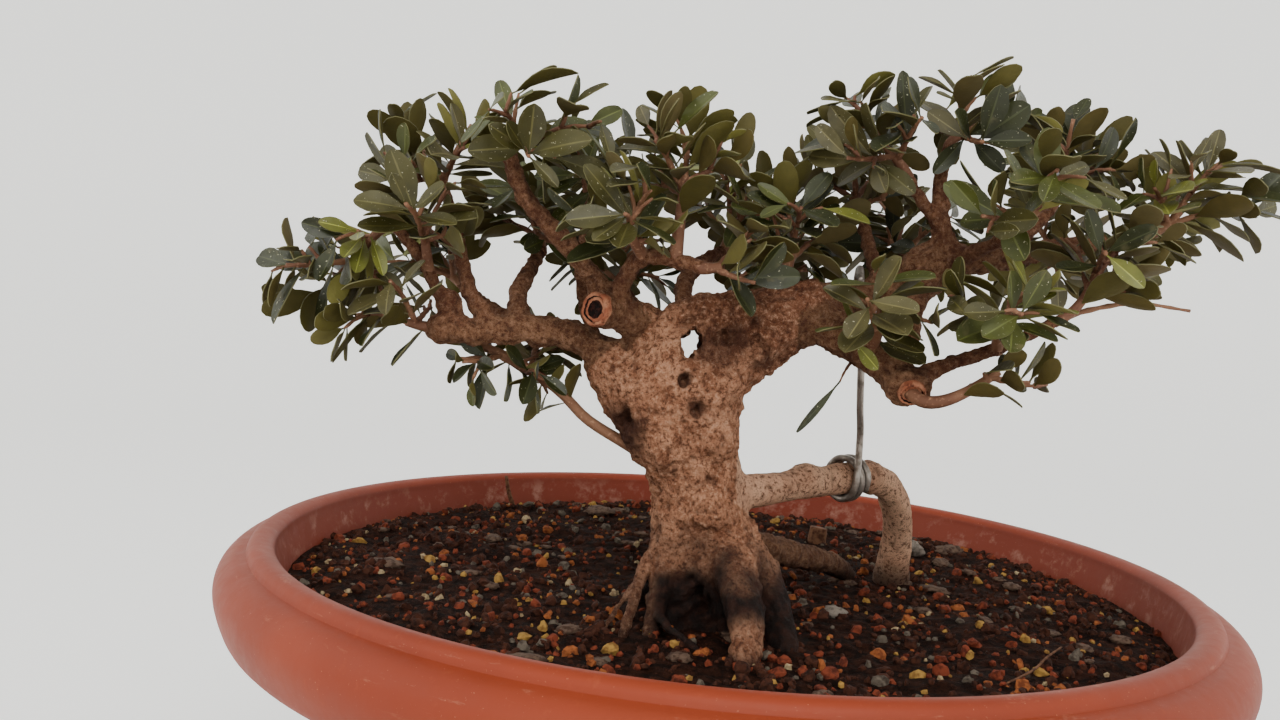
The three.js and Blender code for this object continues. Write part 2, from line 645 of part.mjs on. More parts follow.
// Points along a leaf's midrib and both its edges, from near its root to its tip
function bladePoints({ base, ahead, side, length, width }) {
  const points = [];
  for (let i = 2; i <= BLADE_STEPS; i += 1) {
    const share = i / BLADE_STEPS;
    const half = 0.5 * width * (1 - Math.abs(2 * share - 1));
    for (const across of [-1, -0.5, 0, 0.5, 1]) {
      const point = base.clone().addScaledVector(ahead, share * length);
      points.push(point.addScaledVector(side, across * half));
    }
  }
  return points;
}

function meetsLeaf(point, { base, ahead, side, length, width }) {
  const from = point.clone().sub(base);
  const share = from.dot(ahead) / length;
  if (share < 0.08 || share > 1.05) return false;
  const half = 0.5 * width * (1 - Math.abs(2 * share - 1)) + BLADE_GAP;
  const face = ahead.clone().cross(side);
  return Math.abs(from.dot(side)) < half && Math.abs(from.dot(face)) < BLADE_GAP;
}

function leafFits(mass, leaf, placed, twigs) {
  leaf.blade = bladePoints(leaf);
  for (const point of leaf.blade) {
    if (roomIn(mass, point) < 2 * GAP) return false;
    if (!clearOfLimbs(point, LEAF_LIMB_GAP, mass.name)) return false;
  }
  for (const other of placed) {
    if (leaf.blade.some((point) => meetsLeaf(point, other))) return false;
    if (other.blade.some((point) => meetsLeaf(point, leaf))) return false;
  }
  const near = SHOOT_RADIUS + LEAF_TWIG_GAP;
  return !twigs.some((twig) => leaf.blade.some((point) => distanceTo(twig, point) < near));
}

// Opposite leaves, each pair turned a quarter from the last, from the shoot's tip back to its root.
// A leaf that doesn't fit is tried again a little turned and smaller, and then skipped.
function addLeaves(mass, shoot, draw, leaves, otherTwigs) {
  const length = shoot.distance();
  const axis = shoot.delta(new THREE.Vector3()).normalize();
  let turn = draw() * Math.PI;
  for (let back = 0; back < LEAFY_SHARE * length; back += NODE_SPACING) {
    const point = shoot.at(1 - (back + TIP_INSET) / length, new THREE.Vector3());
    for (const sign of [1, -1]) {
      const open = (back === 0 ? TIP_OPENING : SIDE_OPENING) + OPENING_SPREAD * draw();
      const long = LEAF_LENGTH * (mass.plan.leaf ?? 1) * (LEAF_SIZE_LEAST + LEAF_SIZE_SPREAD * draw());
      for (const [twist, shrink] of LEAF_TRIES) {
        const across = new THREE.Vector3().crossVectors(axis, UP).normalize();
        across.applyAxisAngle(axis, turn + twist);
        const ahead = axis.clone().multiplyScalar(Math.cos(open));
        ahead.addScaledVector(across, sign * Math.sin(open));
        const side = new THREE.Vector3().crossVectors(axis, ahead).normalize();
        const size = long * shrink;
        const leaf = { base: point, ahead, side, length: size, width: size * LEAF_WIDTH };
        if (leafFits(mass, leaf, leaves, otherTwigs)) {
          leaves.push(leaf);
          break;
        }
      }
    }
    turn += Math.PI / 2;
  }
}

function shootLine(mass, stem, draw, k, count) {
  const height = 1 - (SHOOT_FAN * (k + 0.5)) / count;
  const ring = Math.sqrt(Math.max(0, 1 - height * height));
  const angle = k * GOLDEN_ANGLE + mass.seed;
  const way = new THREE.Vector3(ring * Math.cos(angle), ring * Math.sin(angle), height / CROWN_SQUASH);
  const start = stem.getPointAt(SHOOT_FIRST + SHOOT_FIRST_SPREAD * draw());
  const far = (SHOOT_REACH + SHOOT_REACH_SPREAD * draw()) * mass.reach;
  return new THREE.Line3(start, mass.centre.clone().addScaledVector(way, far));
}

function shootFits(mass, line) {
  for (let i = 0; i <= BLADE_STEPS; i += 1) {
    const point = line.at(i / BLADE_STEPS, new THREE.Vector3());
    if (roomIn(mass, point) < SHOOT_RADIUS + GAP) return false;
    if (!clearOfLimbs(point, SHOOT_RADIUS + SHOOT_LIMB_GAP, mass.name)) return false;
  }
  return true;
}

function shootBody(line) {
  const length = line.distance();
  const shoot = new THREE.CylinderGeometry(SHOOT_TIP_RADIUS, SHOOT_RADIUS, length, 3);
  const axis = line.delta(new THREE.Vector3()).normalize();
  shoot.applyQuaternion(new THREE.Quaternion().setFromUnitVectors(ALONG, axis));
  return solid(shoot.translate(...line.getCenter(new THREE.Vector3()).toArray()));
}

function buildMass(mass) {
  const draw = random(mass.seed);
  const { stem } = mass;
  const count = mass.plan.shoots ?? Math.round(mass.reach / SHOOT_SHARE);
  const shoots = [];
  const stemLines = [];
  for (let i = 0; i < stem.steps; i += 1) {
    const [low, high] = [i / stem.steps, (i + 1) / stem.steps];
    stemLines.push(new THREE.Line3(stem.curve.getPointAt(low), stem.curve.getPointAt(high)));
  }
  for (let k = 0; k < count; k += 1) {
    const line = shootLine(mass, stem.curve, draw, k, count);
    if (shootFits(mass, line)) shoots.push(line);
  }
  const leaves = [];
  for (const shoot of shoots) {
    const others = shoots.filter((other) => other !== shoot);
    addLeaves(mass, shoot, draw, leaves, [...others, ...stemLines]);
  }
  let body = rod(stem.curve, stem.radii, 3, stem.steps);
  for (const shoot of shoots) body = body.add(shootBody(shoot));
  for (const leaf of leaves) body = body.add(leafBody(leaf));
  const { on, from = 1 } = mass.plan;
  if (on === 'trunk') body = body.subtract(trunkShape(GAP));
  else if (from < 1) body = body.subtract(limbs[on].shape(GAP));
  place(mass.name, body, FOLIAGE);
}

buildPot();
buildSoil();
buildTrunk();
buildLimbs();
const wire = buildWire();

for (const [name, limb] of Object.entries(limbs)) addLinks(name, limb.curve, limb.radii, limb.steps);
for (const part of TRUNK_PARTS) {
  const { curve, radii, steps } = limbOf(part);
  addLinks('trunk', curve, radii, steps);
}
addLinks('guy_wire', wire, [WIRE_RADIUS, WIRE_RADIUS], WIRE_STEPS);
for (const mass of masses) {
  mass.stem = stemOf(mass);
  addLinks(mass.name, mass.stem.curve, mass.stem.radii, STEM_LINKS);
}
for (const mass of masses) buildMass(mass);

export default model;
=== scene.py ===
# Potted dwarf olive, grown as a bonsai: bark, twigs, leaves, filling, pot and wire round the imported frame.
import math
from functools import reduce

import bmesh
import bpy
import numpy as np
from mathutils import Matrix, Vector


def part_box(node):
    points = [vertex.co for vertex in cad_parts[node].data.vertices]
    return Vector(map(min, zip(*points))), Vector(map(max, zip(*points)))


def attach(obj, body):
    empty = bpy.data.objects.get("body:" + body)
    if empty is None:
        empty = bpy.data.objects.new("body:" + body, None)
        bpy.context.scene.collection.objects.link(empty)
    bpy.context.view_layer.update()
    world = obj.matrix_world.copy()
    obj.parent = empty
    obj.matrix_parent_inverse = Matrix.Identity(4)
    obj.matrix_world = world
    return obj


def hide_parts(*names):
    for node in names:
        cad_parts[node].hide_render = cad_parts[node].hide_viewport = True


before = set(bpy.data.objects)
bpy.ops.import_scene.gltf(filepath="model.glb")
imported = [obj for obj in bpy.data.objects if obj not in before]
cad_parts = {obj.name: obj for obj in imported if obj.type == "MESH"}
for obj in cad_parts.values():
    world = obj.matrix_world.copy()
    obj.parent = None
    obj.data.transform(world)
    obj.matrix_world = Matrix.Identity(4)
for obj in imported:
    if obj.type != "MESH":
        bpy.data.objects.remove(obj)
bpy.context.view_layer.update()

import openvdb
from mathutils import Matrix, Quaternion, Vector, kdtree, noise

# Shapes are worked out in millimetres, and Blender's objects are in metres
MM = 0.001
UP = np.array([0.0, 0.0, 1.0])

# Sizes that the frame gives
RIM_RADIUS, _, POT_HEIGHT = np.array(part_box("pot")[1]) / MM
SOIL_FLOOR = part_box("soil")[0][2] / MM

# The filling's level below the lip
SOIL_DROP = 14.0
SOIL_TOP = POT_HEIGHT - SOIL_DROP

# Sizes of the pot
LIP_RADIUS = 161.5
BODY_RADIUS = 152.0
BASE_RADIUS = 104.0
WALL = 4.0
FLOOR = 5.0
RIM_DEPTH = 28.0
DRAIN_HOLES = 4
DRAIN_RADIUS = 6.0
DRAIN_RING = 62.0

# The point on the soil that the tree is measured from
TREE = np.array([-12.0, -60.0, SOIL_TOP])

# Trunk: level sections [x, y, z, half width, half depth] from the soil to the fork
TRUNK_SECTIONS = [
    [5, 0, -6, 21, 19], [5, 0, 6, 18.5, 17], [3, 0, 16, 17, 16], [0, 0, 27, 16, 15.4], [-1, 0, 38, 15.6, 15],
    [-4, 0, 48, 16.5, 15.5], [-8, 0, 57, 18.5, 16.5], [-11, 0, 66, 22, 17.5], [-11, 0, 75, 24, 17.5],
    [-8, 0, 83, 26, 16.5], [-3, 0, 90, 26, 15], [4, 0, 96, 19, 13], [8, 0, 102, 12, 9],
]

# Rods of the trunk as (radii, points): shoulder, arch over the eye, right fork, the stub's shoulder, roots
TRUNK_PARTS = [
    ([13, 10.5, 6.5], [[-14, 0, 62], [-26, 0, 72], [-33, 0, 80]]),
    ([6, 4, 3.2, 3.2, 4.2, 8], [[-12, 0, 78], [-18, 0, 90], [-16, 0, 97], [-9, 0, 101], [-1, 0, 102],
        [9, 0, 99]]),
    ([14, 12, 9.5], [[4, 0, 88], [18, -1, 97], [29, -3, 102]]),
    ([7, 6, 5.6], [[-17, -2, 84], [-22, -3, 93], [-27, -6, 96]]),
    ([9, 6.5, 5, 3.8], [[8, -6, 26], [11, -20, 18], [13, -33, 8], [12, -46, -5]]),
    ([9, 7, 5, 3.6], [[10, -4, 26], [18, -9, 17], [24, -18, 7], [27, -30, -5]]),
    ([6, 4, 3, 2.2], [[-7, -4, 30], [-11, -10, 18], [-13, -15, 7], [-15, -22, -5]]),
    ([8, 6, 4.4, 3], [[-5, 2, 22], [-11, 9, 12], [-15, 16, 4], [-19, 24, -5]]),
    ([9, 6.5, 4.6, 3.2], [[0, 4, 26], [-2, 18, 15], [-3, 28, 6], [-4, 40, -5]]),
    ([8, 6, 4.2, 3], [[8, 2, 22], [15, 13, 12], [22, 22, 4], [30, 30, -5]]),
]

# Hollows in the front: [x, y, z, half width, half depth, half height, lean in degrees]
TRUNK_HOLLOWS = [
    [-8, 0, 89, 3.8, 30, 5.7, 20], [-9.5, -17.5, 78, 1.7, 4.5, 2.1, 25], [-5, -18, 69, 2.3, 4.5, 2.2, 0],
    [14, -14.5, 90, 1.7, 4.5, 4, -35], [-1, -20, 5, 7, 9, 12, 0],
]

# Rolled rims round the knots: [x, y, z, ring radius, thickness]
KNOT_RIMS = [[-9.5, -16.5, 78, 3.2, 1.3], [-5, -16.8, 69, 3.8, 1.5], [14, -13, 90, 3.6, 1.6]]

# Fine roots at the left foot
ROOTLETS = [
    ([3, 2, 1.7, 1.3], [[-12, -4, 27], [-18, -11, 16], [-21, -20, 6], [-24, -28, -4]]),
    ([1.2, 0.9, 0.8, 0.7], [[-18, -11, 15], [-23, -16, 9], [-27, -20, 3], [-30, -27, -4]]),
    ([2, 1.6, 1.4, 1.2], [[-15, -12, 8], [-11, -22, 4], [-4, -30, 1], [2, -36, -4]]),
]

# Folds of bark: the rounded front of the arch, the lip beside the knots, and two under the left shoulder
FOLDS = [
    ([3.2, 3.4, 3.4, 3.6, 4.2, 4.4], [[-17, -8, 86], [-17, -9, 94], [-11, -9.5, 99.5], [-2, -9.5, 101],
        [8, -10, 100], [18, -9, 101]]),
    ([1.8, 2.6, 1.6], [[-4, -15, 84], [-1, -16.5, 77], [0.5, -15.5, 70]]),
    ([2.6, 3.2, 3, 2.2], [[-30, -7, 80], [-24, -11, 71], [-17, -12.5, 62], [-12, -13, 54]]),
    ([2.2, 2.8, 2], [[-33, -3, 76], [-29, -7, 67], [-22, -9.5, 58]]),
]

# Hollows of the bark alone: a furrow under the arch, a knot on the right fork, and the wound at the left
FURROWS = [[3, -16.5, 92.5, 6.5, 4.5, 3, -14], [11, -14.5, 97.5, 1.4, 4, 1.4, 0], [-27, -10, 63, 3, 5, 5, 25]]

# Swellings, as round bodies: [x, y, z, radius]
BURLS = [
    [36, 19, 46, 4.2], [66, -4, 118, 8.2], [58, -25, 80, 6], [-87, -10, 88, 4.3], [-84, -12, 97, 3],
    [-32, -1, 79, 8], [-19, -11, 72, 5.5], [3, -13, 60, 5], [3, -12, 77, 5], [-14, -12, 55, 5.5],
    [2, -13, 38, 5],
]

# Limbs as (radii, points), from root to tip
LIMBS = {
    "low_arch_run": ([5.6, 5.2, 5.2, 5.3, 5.4], [[8, 0, 41], [17, 5, 42], [34, 17, 43.5], [52, 31, 45],
        [63, 40, 45]]),
    "low_arch_foot": ([5.4, 5.3, 5.4, 6, 7.4], [[63, 40, 45], [72, 48, 41], [78, 55, 32], [81, 62, 20],
        [82, 68, 8], [83, 74, -5]]),
    "side_root": ([5.4, 4.4, 3.9, 3], [[8, 2, 25], [22, 11, 22], [38, 26, 17], [52, 46, 11], [62, 66, 4],
        [70, 84, -5]]),
    "left_bough": ([6.4, 4.9, 4.6, 4.4, 4.1, 3.2], [[-31, 0, 77], [-38, 0, 85], [-48, -2, 89], [-63, -5, 90],
        [-75, -8, 88], [-87, -10, 88]]),
    "cut_stub": ([5.5, 5.2, 5.6], [[-25, -5, 95], [-32, -10, 97], [-38.5, -18, 97.5]]),
    "left_riser": ([4, 3.2, 2.9, 2.6, 2.3], [[-34, -12, 98], [-39, -13, 106], [-51, -17, 119],
        [-60, -20, 127], [-65, -20, 135], [-68, -21, 143]]),
    "centre_riser": ([3.2, 2.6, 2.4, 2.2], [[-33, -11, 98], [-30, -17, 108], [-25, -22, 114],
        [-17, -25, 114], [-8, -28, 112]]),
    "left_bough_front_twig": ([2.6, 2, 1.7], [[-79, -9, 88], [-87, -12, 98], [-93, -12, 108],
        [-101, -12, 117]]),
    "left_bough_upper_twig": ([2.9, 2.2, 1.7], [[-71, -7, 89], [-78, -6, 98], [-82, -5, 108], [-86, -4, 122],
        [-89, -4, 130]]),
    "left_bough_inner_branch": ([3.4, 2.8, 2.1], [[-63, -5, 90], [-65, 3, 101], [-63, 14, 110],
        [-61, 25, 117]]),
    "left_back_limb": ([3, 2.4, 1.9], [[-56, -3, 90], [-68, 12, 93], [-80, 24, 98], [-89, 31, 104]]),
    "shoulder_riser": ([2.8, 2.2, 1.7], [[-24, 9, 76], [-34, 15, 82], [-42, 17, 94], [-46, 18, 108],
        [-46, 18, 122]]),
    "crotch_riser": ([3.2, 2.6, 2], [[-10, 2, 98], [-11, 10, 108], [-6, 20, 116], [2, 31, 122]]),
    "back_left_bough": ([5.5, 4.2, 2.8], [[-18, 6, 82], [-21, 20, 89], [-25, 36, 97], [-31, 50, 105]]),
    "back_right_bough": ([5.2, 4, 2.6], [[15, 4, 90], [18, 20, 98], [22, 38, 106], [26, 52, 112]]),
    "right_high_bough": ([8.6, 6.4, 5.6, 5.6, 6.4, 5.4], [[27, -3, 102], [36, 1, 105], [47, 4, 108],
        [57, 2, 112], [65, -3, 117], [71, -8, 122]]),
    "right_low_bough": ([7.6, 7, 5.8, 5, 4.4], [[28, -3, 100], [37, -8, 97], [47, -14, 90.5],
        [54, -20, 84.5], [58, -27, 79]]),
    "right_upright": ([3.8, 3, 3.2], [[53, -20, 86], [57, -19, 94], [60, -14, 104], [64, -9, 113]]),
    "right_crest_limb": ([3.8, 2.8, 2.2, 1.8], [[70, -7, 121], [68, -8, 134], [66, -10, 146],
        [67, -13, 156]]),
    "right_top_limb": ([2.4, 1.9, 1.6], [[68, -8, 132], [60, -12, 139], [54, -16, 146]]),
    "right_far_limb": ([4.6, 3.6, 3, 2.4], [[70, -7, 121], [82, -8, 122], [98, -4, 126], [116, 0, 130],
        [134, 4, 133]]),
    "right_back_limb": ([2.8, 2.2, 1.7], [[90, -6, 124], [100, 6, 132], [110, 13, 142]]),
    "right_low_limb": ([2.8, 2.2, 1.9, 1.6], [[56, -22, 82], [70, -24, 89], [84, -25.5, 95],
        [100, -26, 104]]),
    "right_front_limb": ([2.6, 2, 1.7], [[72, -8, 121], [79, -20, 125], [86, -30, 131]]),
    "back_far_limb": ([4, 3, 2.2], [[60, 1, 114], [62, 16, 117], [67, 34, 124]]),
    "back_top_limb": ([3, 2.4, 1.8], [[54, 2, 111], [51, 9, 122], [48, 17, 136]]),
}

# Masses of foliage, each in a ball squashed in height: (limb that its stem leaves, share of the limb's length
# where it does, middle, reach)
MASSES = {
    "left_front": ("left_bough", 1, [-102, -16, 90], 27),
    "far_left": ("left_bough_front_twig", 1, [-120, -12, 101], 28),
    "left_mid": ("left_bough_front_twig", 0.6, [-93, -22, 124], 24),
    "left_top": ("left_bough_upper_twig", 1, [-93, -2, 143], 28),
    "left_crest": ("left_riser", 1, [-57, -24, 148], 28),
    "left_back": ("left_bough_inner_branch", 1, [-66, 32, 130], 30),
    "left_back_low": ("left_back_limb", 1, [-102, 36, 112], 28),
    "shoulder_top": ("shoulder_riser", 1, [-42, 8, 143], 28),
    "crotch_top": ("crotch_riser", 1, [6, 32, 139], 28),
    "back_left": ("back_left_bough", 1, [-36, 62, 116], 30),
    "back_right": ("back_right_bough", 1, [28, 66, 122], 30),
    "centre_front": ("centre_riser", 0.55, [-33, -38, 124], 23),
    "centre_front_low": ("centre_riser", 1, [2, -34, 113], 21),
    "centre_top": ("centre_riser", 0.8, [-14, -22, 145], 27),
    "right_inner": ("trunk", 1, [24, -6, 130], 25),
    "right_top": ("right_top_limb", 1, [44, -16, 156], 27),
    "right_crest": ("right_crest_limb", 1, [76, -14, 163], 27),
    "right_back_top": ("right_back_limb", 1, [118, 18, 159], 29),
    "far_right": ("right_far_limb", 1, [154, 4, 147], 29),
    "right_low_tip": ("right_low_limb", 1, [113, -26, 125], 25),
    "right_low": ("right_low_limb", 0.6, [77, -40, 104], 23),
    "right_lowest": ("right_low_bough", 1, [83, -38, 89], 19),
    "right_front": ("right_low_bough", 0.55, [46, -36, 102], 22),
    "right_mid_front": ("right_front_limb", 1, [84, -40, 138], 26),
    "back_far": ("back_far_limb", 1, [72, 46, 132], 30),
    "back_far_right": ("right_far_limb", 0.7, [120, 42, 130], 27),
    "back_top": ("back_top_limb", 1, [44, 22, 150], 27),
    "trunk_shoot": ("trunk", 1, [-64, 3, 79], 26),
}

# The stem of right_inner leaves the trunk, and that of trunk_shoot is long, with few twigs and small leaves
INNER_ROOT = [20, -2, 108]
SHOOT_STEM = [[-25, 2, 54], [-40, 3, 62], [-49, 3, 70], [-64, 3, 79], [-78, 3, 84]]
SHOOT_STEM_RADIUS = 1.9
SHOOT_TWIGS = 4
SHOOT_LEAF = 0.72


# Curves

SPLINE_STEPS = 24
LIMB_STEPS = 24
END_PAST = 0.03


def lengths(vectors):
    return np.linalg.norm(vectors, axis=-1)


def unit(vectors):
    return vectors / lengths(vectors)[..., None]


def spline(points, count):
    """count + 1 evenly spaced points of the smooth curve through the points"""
    p = np.asarray(points, float)
    ends = np.vstack([2 * p[0] - p[1], p, 2 * p[-1] - p[-2]])
    share = np.linspace(0, 1, SPLINE_STEPS, endpoint=False)[:, None]
    dense = []
    for i in range(len(p) - 1):
        p0, p1, p2, p3 = ends[i:i + 4]
        d0, d1, d2 = (math.sqrt(lengths(b - a)) for a, b in ((p0, p1), (p1, p2), (p2, p3)))
        t1 = ((p1 - p0) / d0 - (p2 - p0) / (d0 + d1) + (p2 - p1) / d1) * d1
        t2 = ((p2 - p1) / d1 - (p3 - p1) / (d1 + d2) + (p3 - p2) / d2) * d1
        third = 3 * (p2 - p1) - 2 * t1 - t2
        fourth = 2 * (p1 - p2) + t1 + t2
        dense.append(p1 + t1 * share + third * share ** 2 + fourth * share ** 3)
    return even(np.vstack([*dense, p[-1:]]), count)


def even(line, count):
    """count + 1 evenly spaced points of a line of many points"""
    run = np.concatenate([[0], np.cumsum(lengths(np.diff(line, axis=0)))])
    at = np.linspace(0, run[-1], count + 1)
    return np.stack([np.interp(at, run, column) for column in line.T], axis=1)


def at_share(line, share):
    where = share * (len(line) - 1)
    i = min(int(where), len(line) - 2)
    return line[i] + (line[i + 1] - line[i]) * (where - i)


def up_to(line, share):
    """The part of a line that ends just past the share, in as many points"""
    return np.array([at_share(line, step) for step in np.linspace(0, min(share + END_PAST, 1), len(line))])


def spread(values, count):
    """Radii given from root to tip, evenly spread over count points"""
    return np.interp(np.linspace(0, 1, count), np.linspace(0, 1, len(values)), values)


def sides_of(axis, steep=0.97):
    """Two directions across an axis, the first of them level unless the axis is steep"""
    flat = unit(np.cross(axis, UP if abs(axis[2]) < steep else [1.0, 0, 0]))
    return flat, np.cross(axis, flat)


def within(limits, share):
    """Where a share stands in a range of (least, spread)"""
    return limits[0] + limits[1] * share


def smoothstep(value, low, high):
    share = np.clip((value - low) / (high - low), 0, 1)
    return share * share * (3 - 2 * share)


limb_lines = {name: spline(points, LIMB_STEPS) for name, (_, points) in LIMBS.items()}


# Meshes

WELD = 0.02


def make_object(name, verts, faces, materials, slots=None, smooth=True, crease=None):
    """A mesh from points in millimetres of the row frame"""
    mesh = bpy.data.meshes.new(name)
    mesh.from_pydata((np.asarray(verts) * MM).tolist(), [], [list(map(int, face)) for face in faces])
    for item in materials:
        mesh.materials.append(item)
    if slots is not None:
        mesh.polygons.foreach_set("material_index", np.asarray(slots, np.int32))
    mesh.polygons.foreach_set("use_smooth", np.full(len(mesh.polygons), smooth))
    if crease is not None:
        mesh.set_sharp_from_angle(angle=math.radians(crease))
    mesh.update()
    made = bpy.data.objects.new(name, mesh)
    bpy.context.scene.collection.objects.link(made)
    return made


def finish_piece(made, nodes=()):
    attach(made, "root")
    if nodes:
        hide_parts(*nodes)
    return made


def weld(made):
    """Joins doubled points and turns the faces outwards"""
    mesh = bmesh.new()
    mesh.from_mesh(made.data)
    bmesh.ops.remove_doubles(mesh, verts=mesh.verts, dist=WELD * MM)
    bmesh.ops.recalc_face_normals(mesh, faces=mesh.faces)
    mesh.to_mesh(made.data)
    mesh.free()


def mark_points(made, **marks):
    """Numbers on a mesh's points, which its paint reads by name"""
    for name, values in marks.items():
        layer = made.data.attributes.new(name, "FLOAT", "POINT")
        layer.data.foreach_set("value", np.asarray(values, np.float32))


def circle(sides):
    turn = np.linspace(0, 2 * math.pi, sides, endpoint=False)
    return np.cos(turn), np.sin(turn)


def ring_faces(rings, around, start=0):
    """Four-sided faces between rings of points that follow one another"""
    faces = []
    for i in range(rings - 1):
        a = start + i * around
        for j in range(around):
            k = (j + 1) % around
            faces.append((a + j, a + k, a + around + k, a + around + j))
    return faces


def lathe(profile, sides):
    """Points and faces of a profile of (radius, height) turned round the upright axis"""
    cos, sin = circle(sides)
    rings = [np.stack([r * cos, r * sin, np.full(sides, float(z))], axis=1) for r, z in profile]
    return np.vstack(rings), ring_faces(len(rings), sides)


class Tubes:
    """Many round rods gathered into one mesh"""

    def __init__(self):
        self.verts, self.faces, self.count = [], [], 0

    def add(self, line, radii, sides=6):
        line = np.asarray(line, float)
        ahead = unit(np.gradient(line, axis=0))
        side, _ = sides_of(ahead[0], 0.9)
        cos, sin = circle(sides)
        for centre, way, radius in zip(line, ahead, radii):
            side = unit(side - way * np.dot(side, way))
            self.verts.append(centre + radius * (np.outer(cos, side) + np.outer(sin, np.cross(way, side))))
        first, last = self.count, self.count + (len(line) - 1) * sides
        self.faces += ring_faces(len(line), sides, first)
        self.faces += [tuple(range(first + sides - 1, first - 1, -1)), tuple(range(last, last + sides))]
        self.count = last + sides

    def build(self, name, materials, shift=TREE):
        return make_object(name, np.vstack(self.verts) + shift, self.faces, materials)


# Materials. Colours are given in the usual 0 to 255, and the scale of a noise is a count in a metre.

def colour(values):
    """A plain colour as linear light"""
    shares = [c / 255 for c in values]
    return (*(c / 12.92 if c <= 0.04045 else ((c + 0.055) / 1.055) ** 2.4 for c in shares), 1.0)


def scaled(values, size):
    return [c * size for c in values]


class Paint:
    """A node material, laid on coat by coat over its base"""

    def __init__(self, name, roughness=0.5, metallic=0.0, specular=0.5):
        self.material = bpy.data.materials.new(name)
        self.material.use_nodes = True
        self.tree = self.material.node_tree
        self.shader = self.tree.nodes["Principled BSDF"].inputs
        self.shader["Roughness"].default_value = roughness
        self.shader["Metallic"].default_value = metallic
        self.shader["Specular IOR Level"].default_value = specular
        self.place = self.tree.nodes.new("ShaderNodeTexCoord").outputs["Object"]
        self.base = None

    def put(self, socket, value):
        if isinstance(value, bpy.types.NodeSocket):
            self.tree.links.new(value, socket)
        else:
            socket.default_value = colour(value) if socket.type == "RGBA" else value

    def node(self, kind, **inputs):
        made = self.tree.nodes.new(kind)
        for key, value in inputs.items():
            self.put(made.inputs[key.replace("_", " ")], value)
        return made

    def noise(self, scale, detail=3.0, roughness=0.55, stretch=None):
        where = self.place
        if stretch is not None:
            where = self.node("ShaderNodeMapping", Vector=where, Scale=stretch).outputs[0]
        return self.node("ShaderNodeTexNoise", Vector=where, Scale=scale, Detail=detail,
                         Roughness=roughness).outputs["Fac"]

    def mark(self, name):
        made = self.tree.nodes.new("ShaderNodeAttribute")
        made.attribute_name = name
        return made.outputs["Fac"]

    def height(self):
        return self.node("ShaderNodeSeparateXYZ", Vector=self.place).outputs["Z"]

    def step(self, value, low, high, top=1.0):
        made = self.node("ShaderNodeMapRange", Value=value, From_Min=low, From_Max=high, To_Max=top)
        made.interpolation_type = "SMOOTHSTEP"
        return made.outputs[0]

    def math(self, kind, a, b):
        made = self.tree.nodes.new("ShaderNodeMath")
        made.operation = kind
        self.put(made.inputs[0], a)
        self.put(made.inputs[1], b)
        return made.outputs[0]

    def times(self, a, b):
        return self.math("MULTIPLY", a, b)

    def mix(self, factor, a, b):
        made = self.tree.nodes.new("ShaderNodeMix")
        made.data_type = "RGBA"
        self.put(made.inputs[0], factor)
        self.put(made.inputs[6], a)
        self.put(made.inputs[7], b)
        return made.outputs[2]

    def over(self, mask, coat):
        self.base = self.mix(mask, self.base, coat)

    def roughen(self, least, mask, more):
        self.put(self.shader["Roughness"], self.math("ADD", least, self.times(mask, more)))

    def done(self, *relief):
        """The material, with relief in layers of (height, distance in millimetres), the coarse one first"""
        self.put(self.shader["Base Color"], self.base)
        normal = None
        for height, distance in relief:
            made = self.node("ShaderNodeBump", Height=height, Distance=distance * MM)
            if normal is not None:
                self.tree.links.new(normal, made.inputs["Normal"])
            normal = made.outputs["Normal"]
        if normal is not None:
            self.tree.links.new(normal, self.shader["Normal"])
        return self.material


def mottled(name, first, second, pattern, span=None, relief=None, **finish):
    """Two shades in a pattern of (scale, detail), and relief as (scale, detail, distance)"""
    paint = Paint(name, **finish)
    mask = paint.noise(*pattern)
    paint.base = paint.mix(paint.step(mask, *span) if span else mask, first, second)
    return paint.done((paint.noise(*relief[:2]), relief[2])) if relief else paint.done()


def bark_paint():
    paint = Paint("corky_bark", roughness=0.88, specular=0.22)
    broad = paint.step(paint.noise(45, 3), 0.36, 0.64)
    patches = paint.step(paint.noise(210, 6, 0.7), 0.42, 0.62)
    grain = paint.noise(620, 7, 0.75)
    fine = paint.noise(1500, 5, 0.8)
    bough = paint.mark("bough")
    paint.base = paint.mix(broad, (200, 144, 110), (180, 124, 92))
    paint.over(patches, (146, 94, 66))
    paint.over(paint.mark("red"), (104, 58, 36))
    paint.over(bough, paint.mix(patches, (122, 88, 62), (96, 66, 45)))
    paint.over(paint.mark("smooth"), paint.mix(broad, (240, 194, 160), (212, 162, 130)))
    paint.over(paint.mark("twig"), paint.mix(patches, (132, 90, 64), (100, 62, 43)))
    pale = paint.math("SUBTRACT", 1.0, paint.times(bough, 0.8))
    paint.over(paint.times(paint.step(grain, 0.52, 0.62, 0.6), pale), (216, 170, 138))
    paint.over(paint.step(grain, 0.485, 0.4, 0.85), (84, 46, 30))
    paint.over(paint.step(fine, 0.47, 0.37, 0.65), (70, 38, 25))
    paint.over(paint.step(paint.noise(380, 2), 0.64, 0.7, 0.55), (92, 54, 38))
    # Painted shade: the hollows between warts, the knot holes, the furrows and the wound are darkened
    paint.over(paint.mark("pit"), (58, 31, 21))
    paint.over(paint.mark("damp"), paint.mix(patches, (24, 11, 6), (52, 27, 17)))
    paint.roughen(0.9, paint.mark("damp"), -0.2)
    return paint.done((paint.noise(330, 4, 0.6), 1.4), (grain, 2.1), (fine, 0.6))


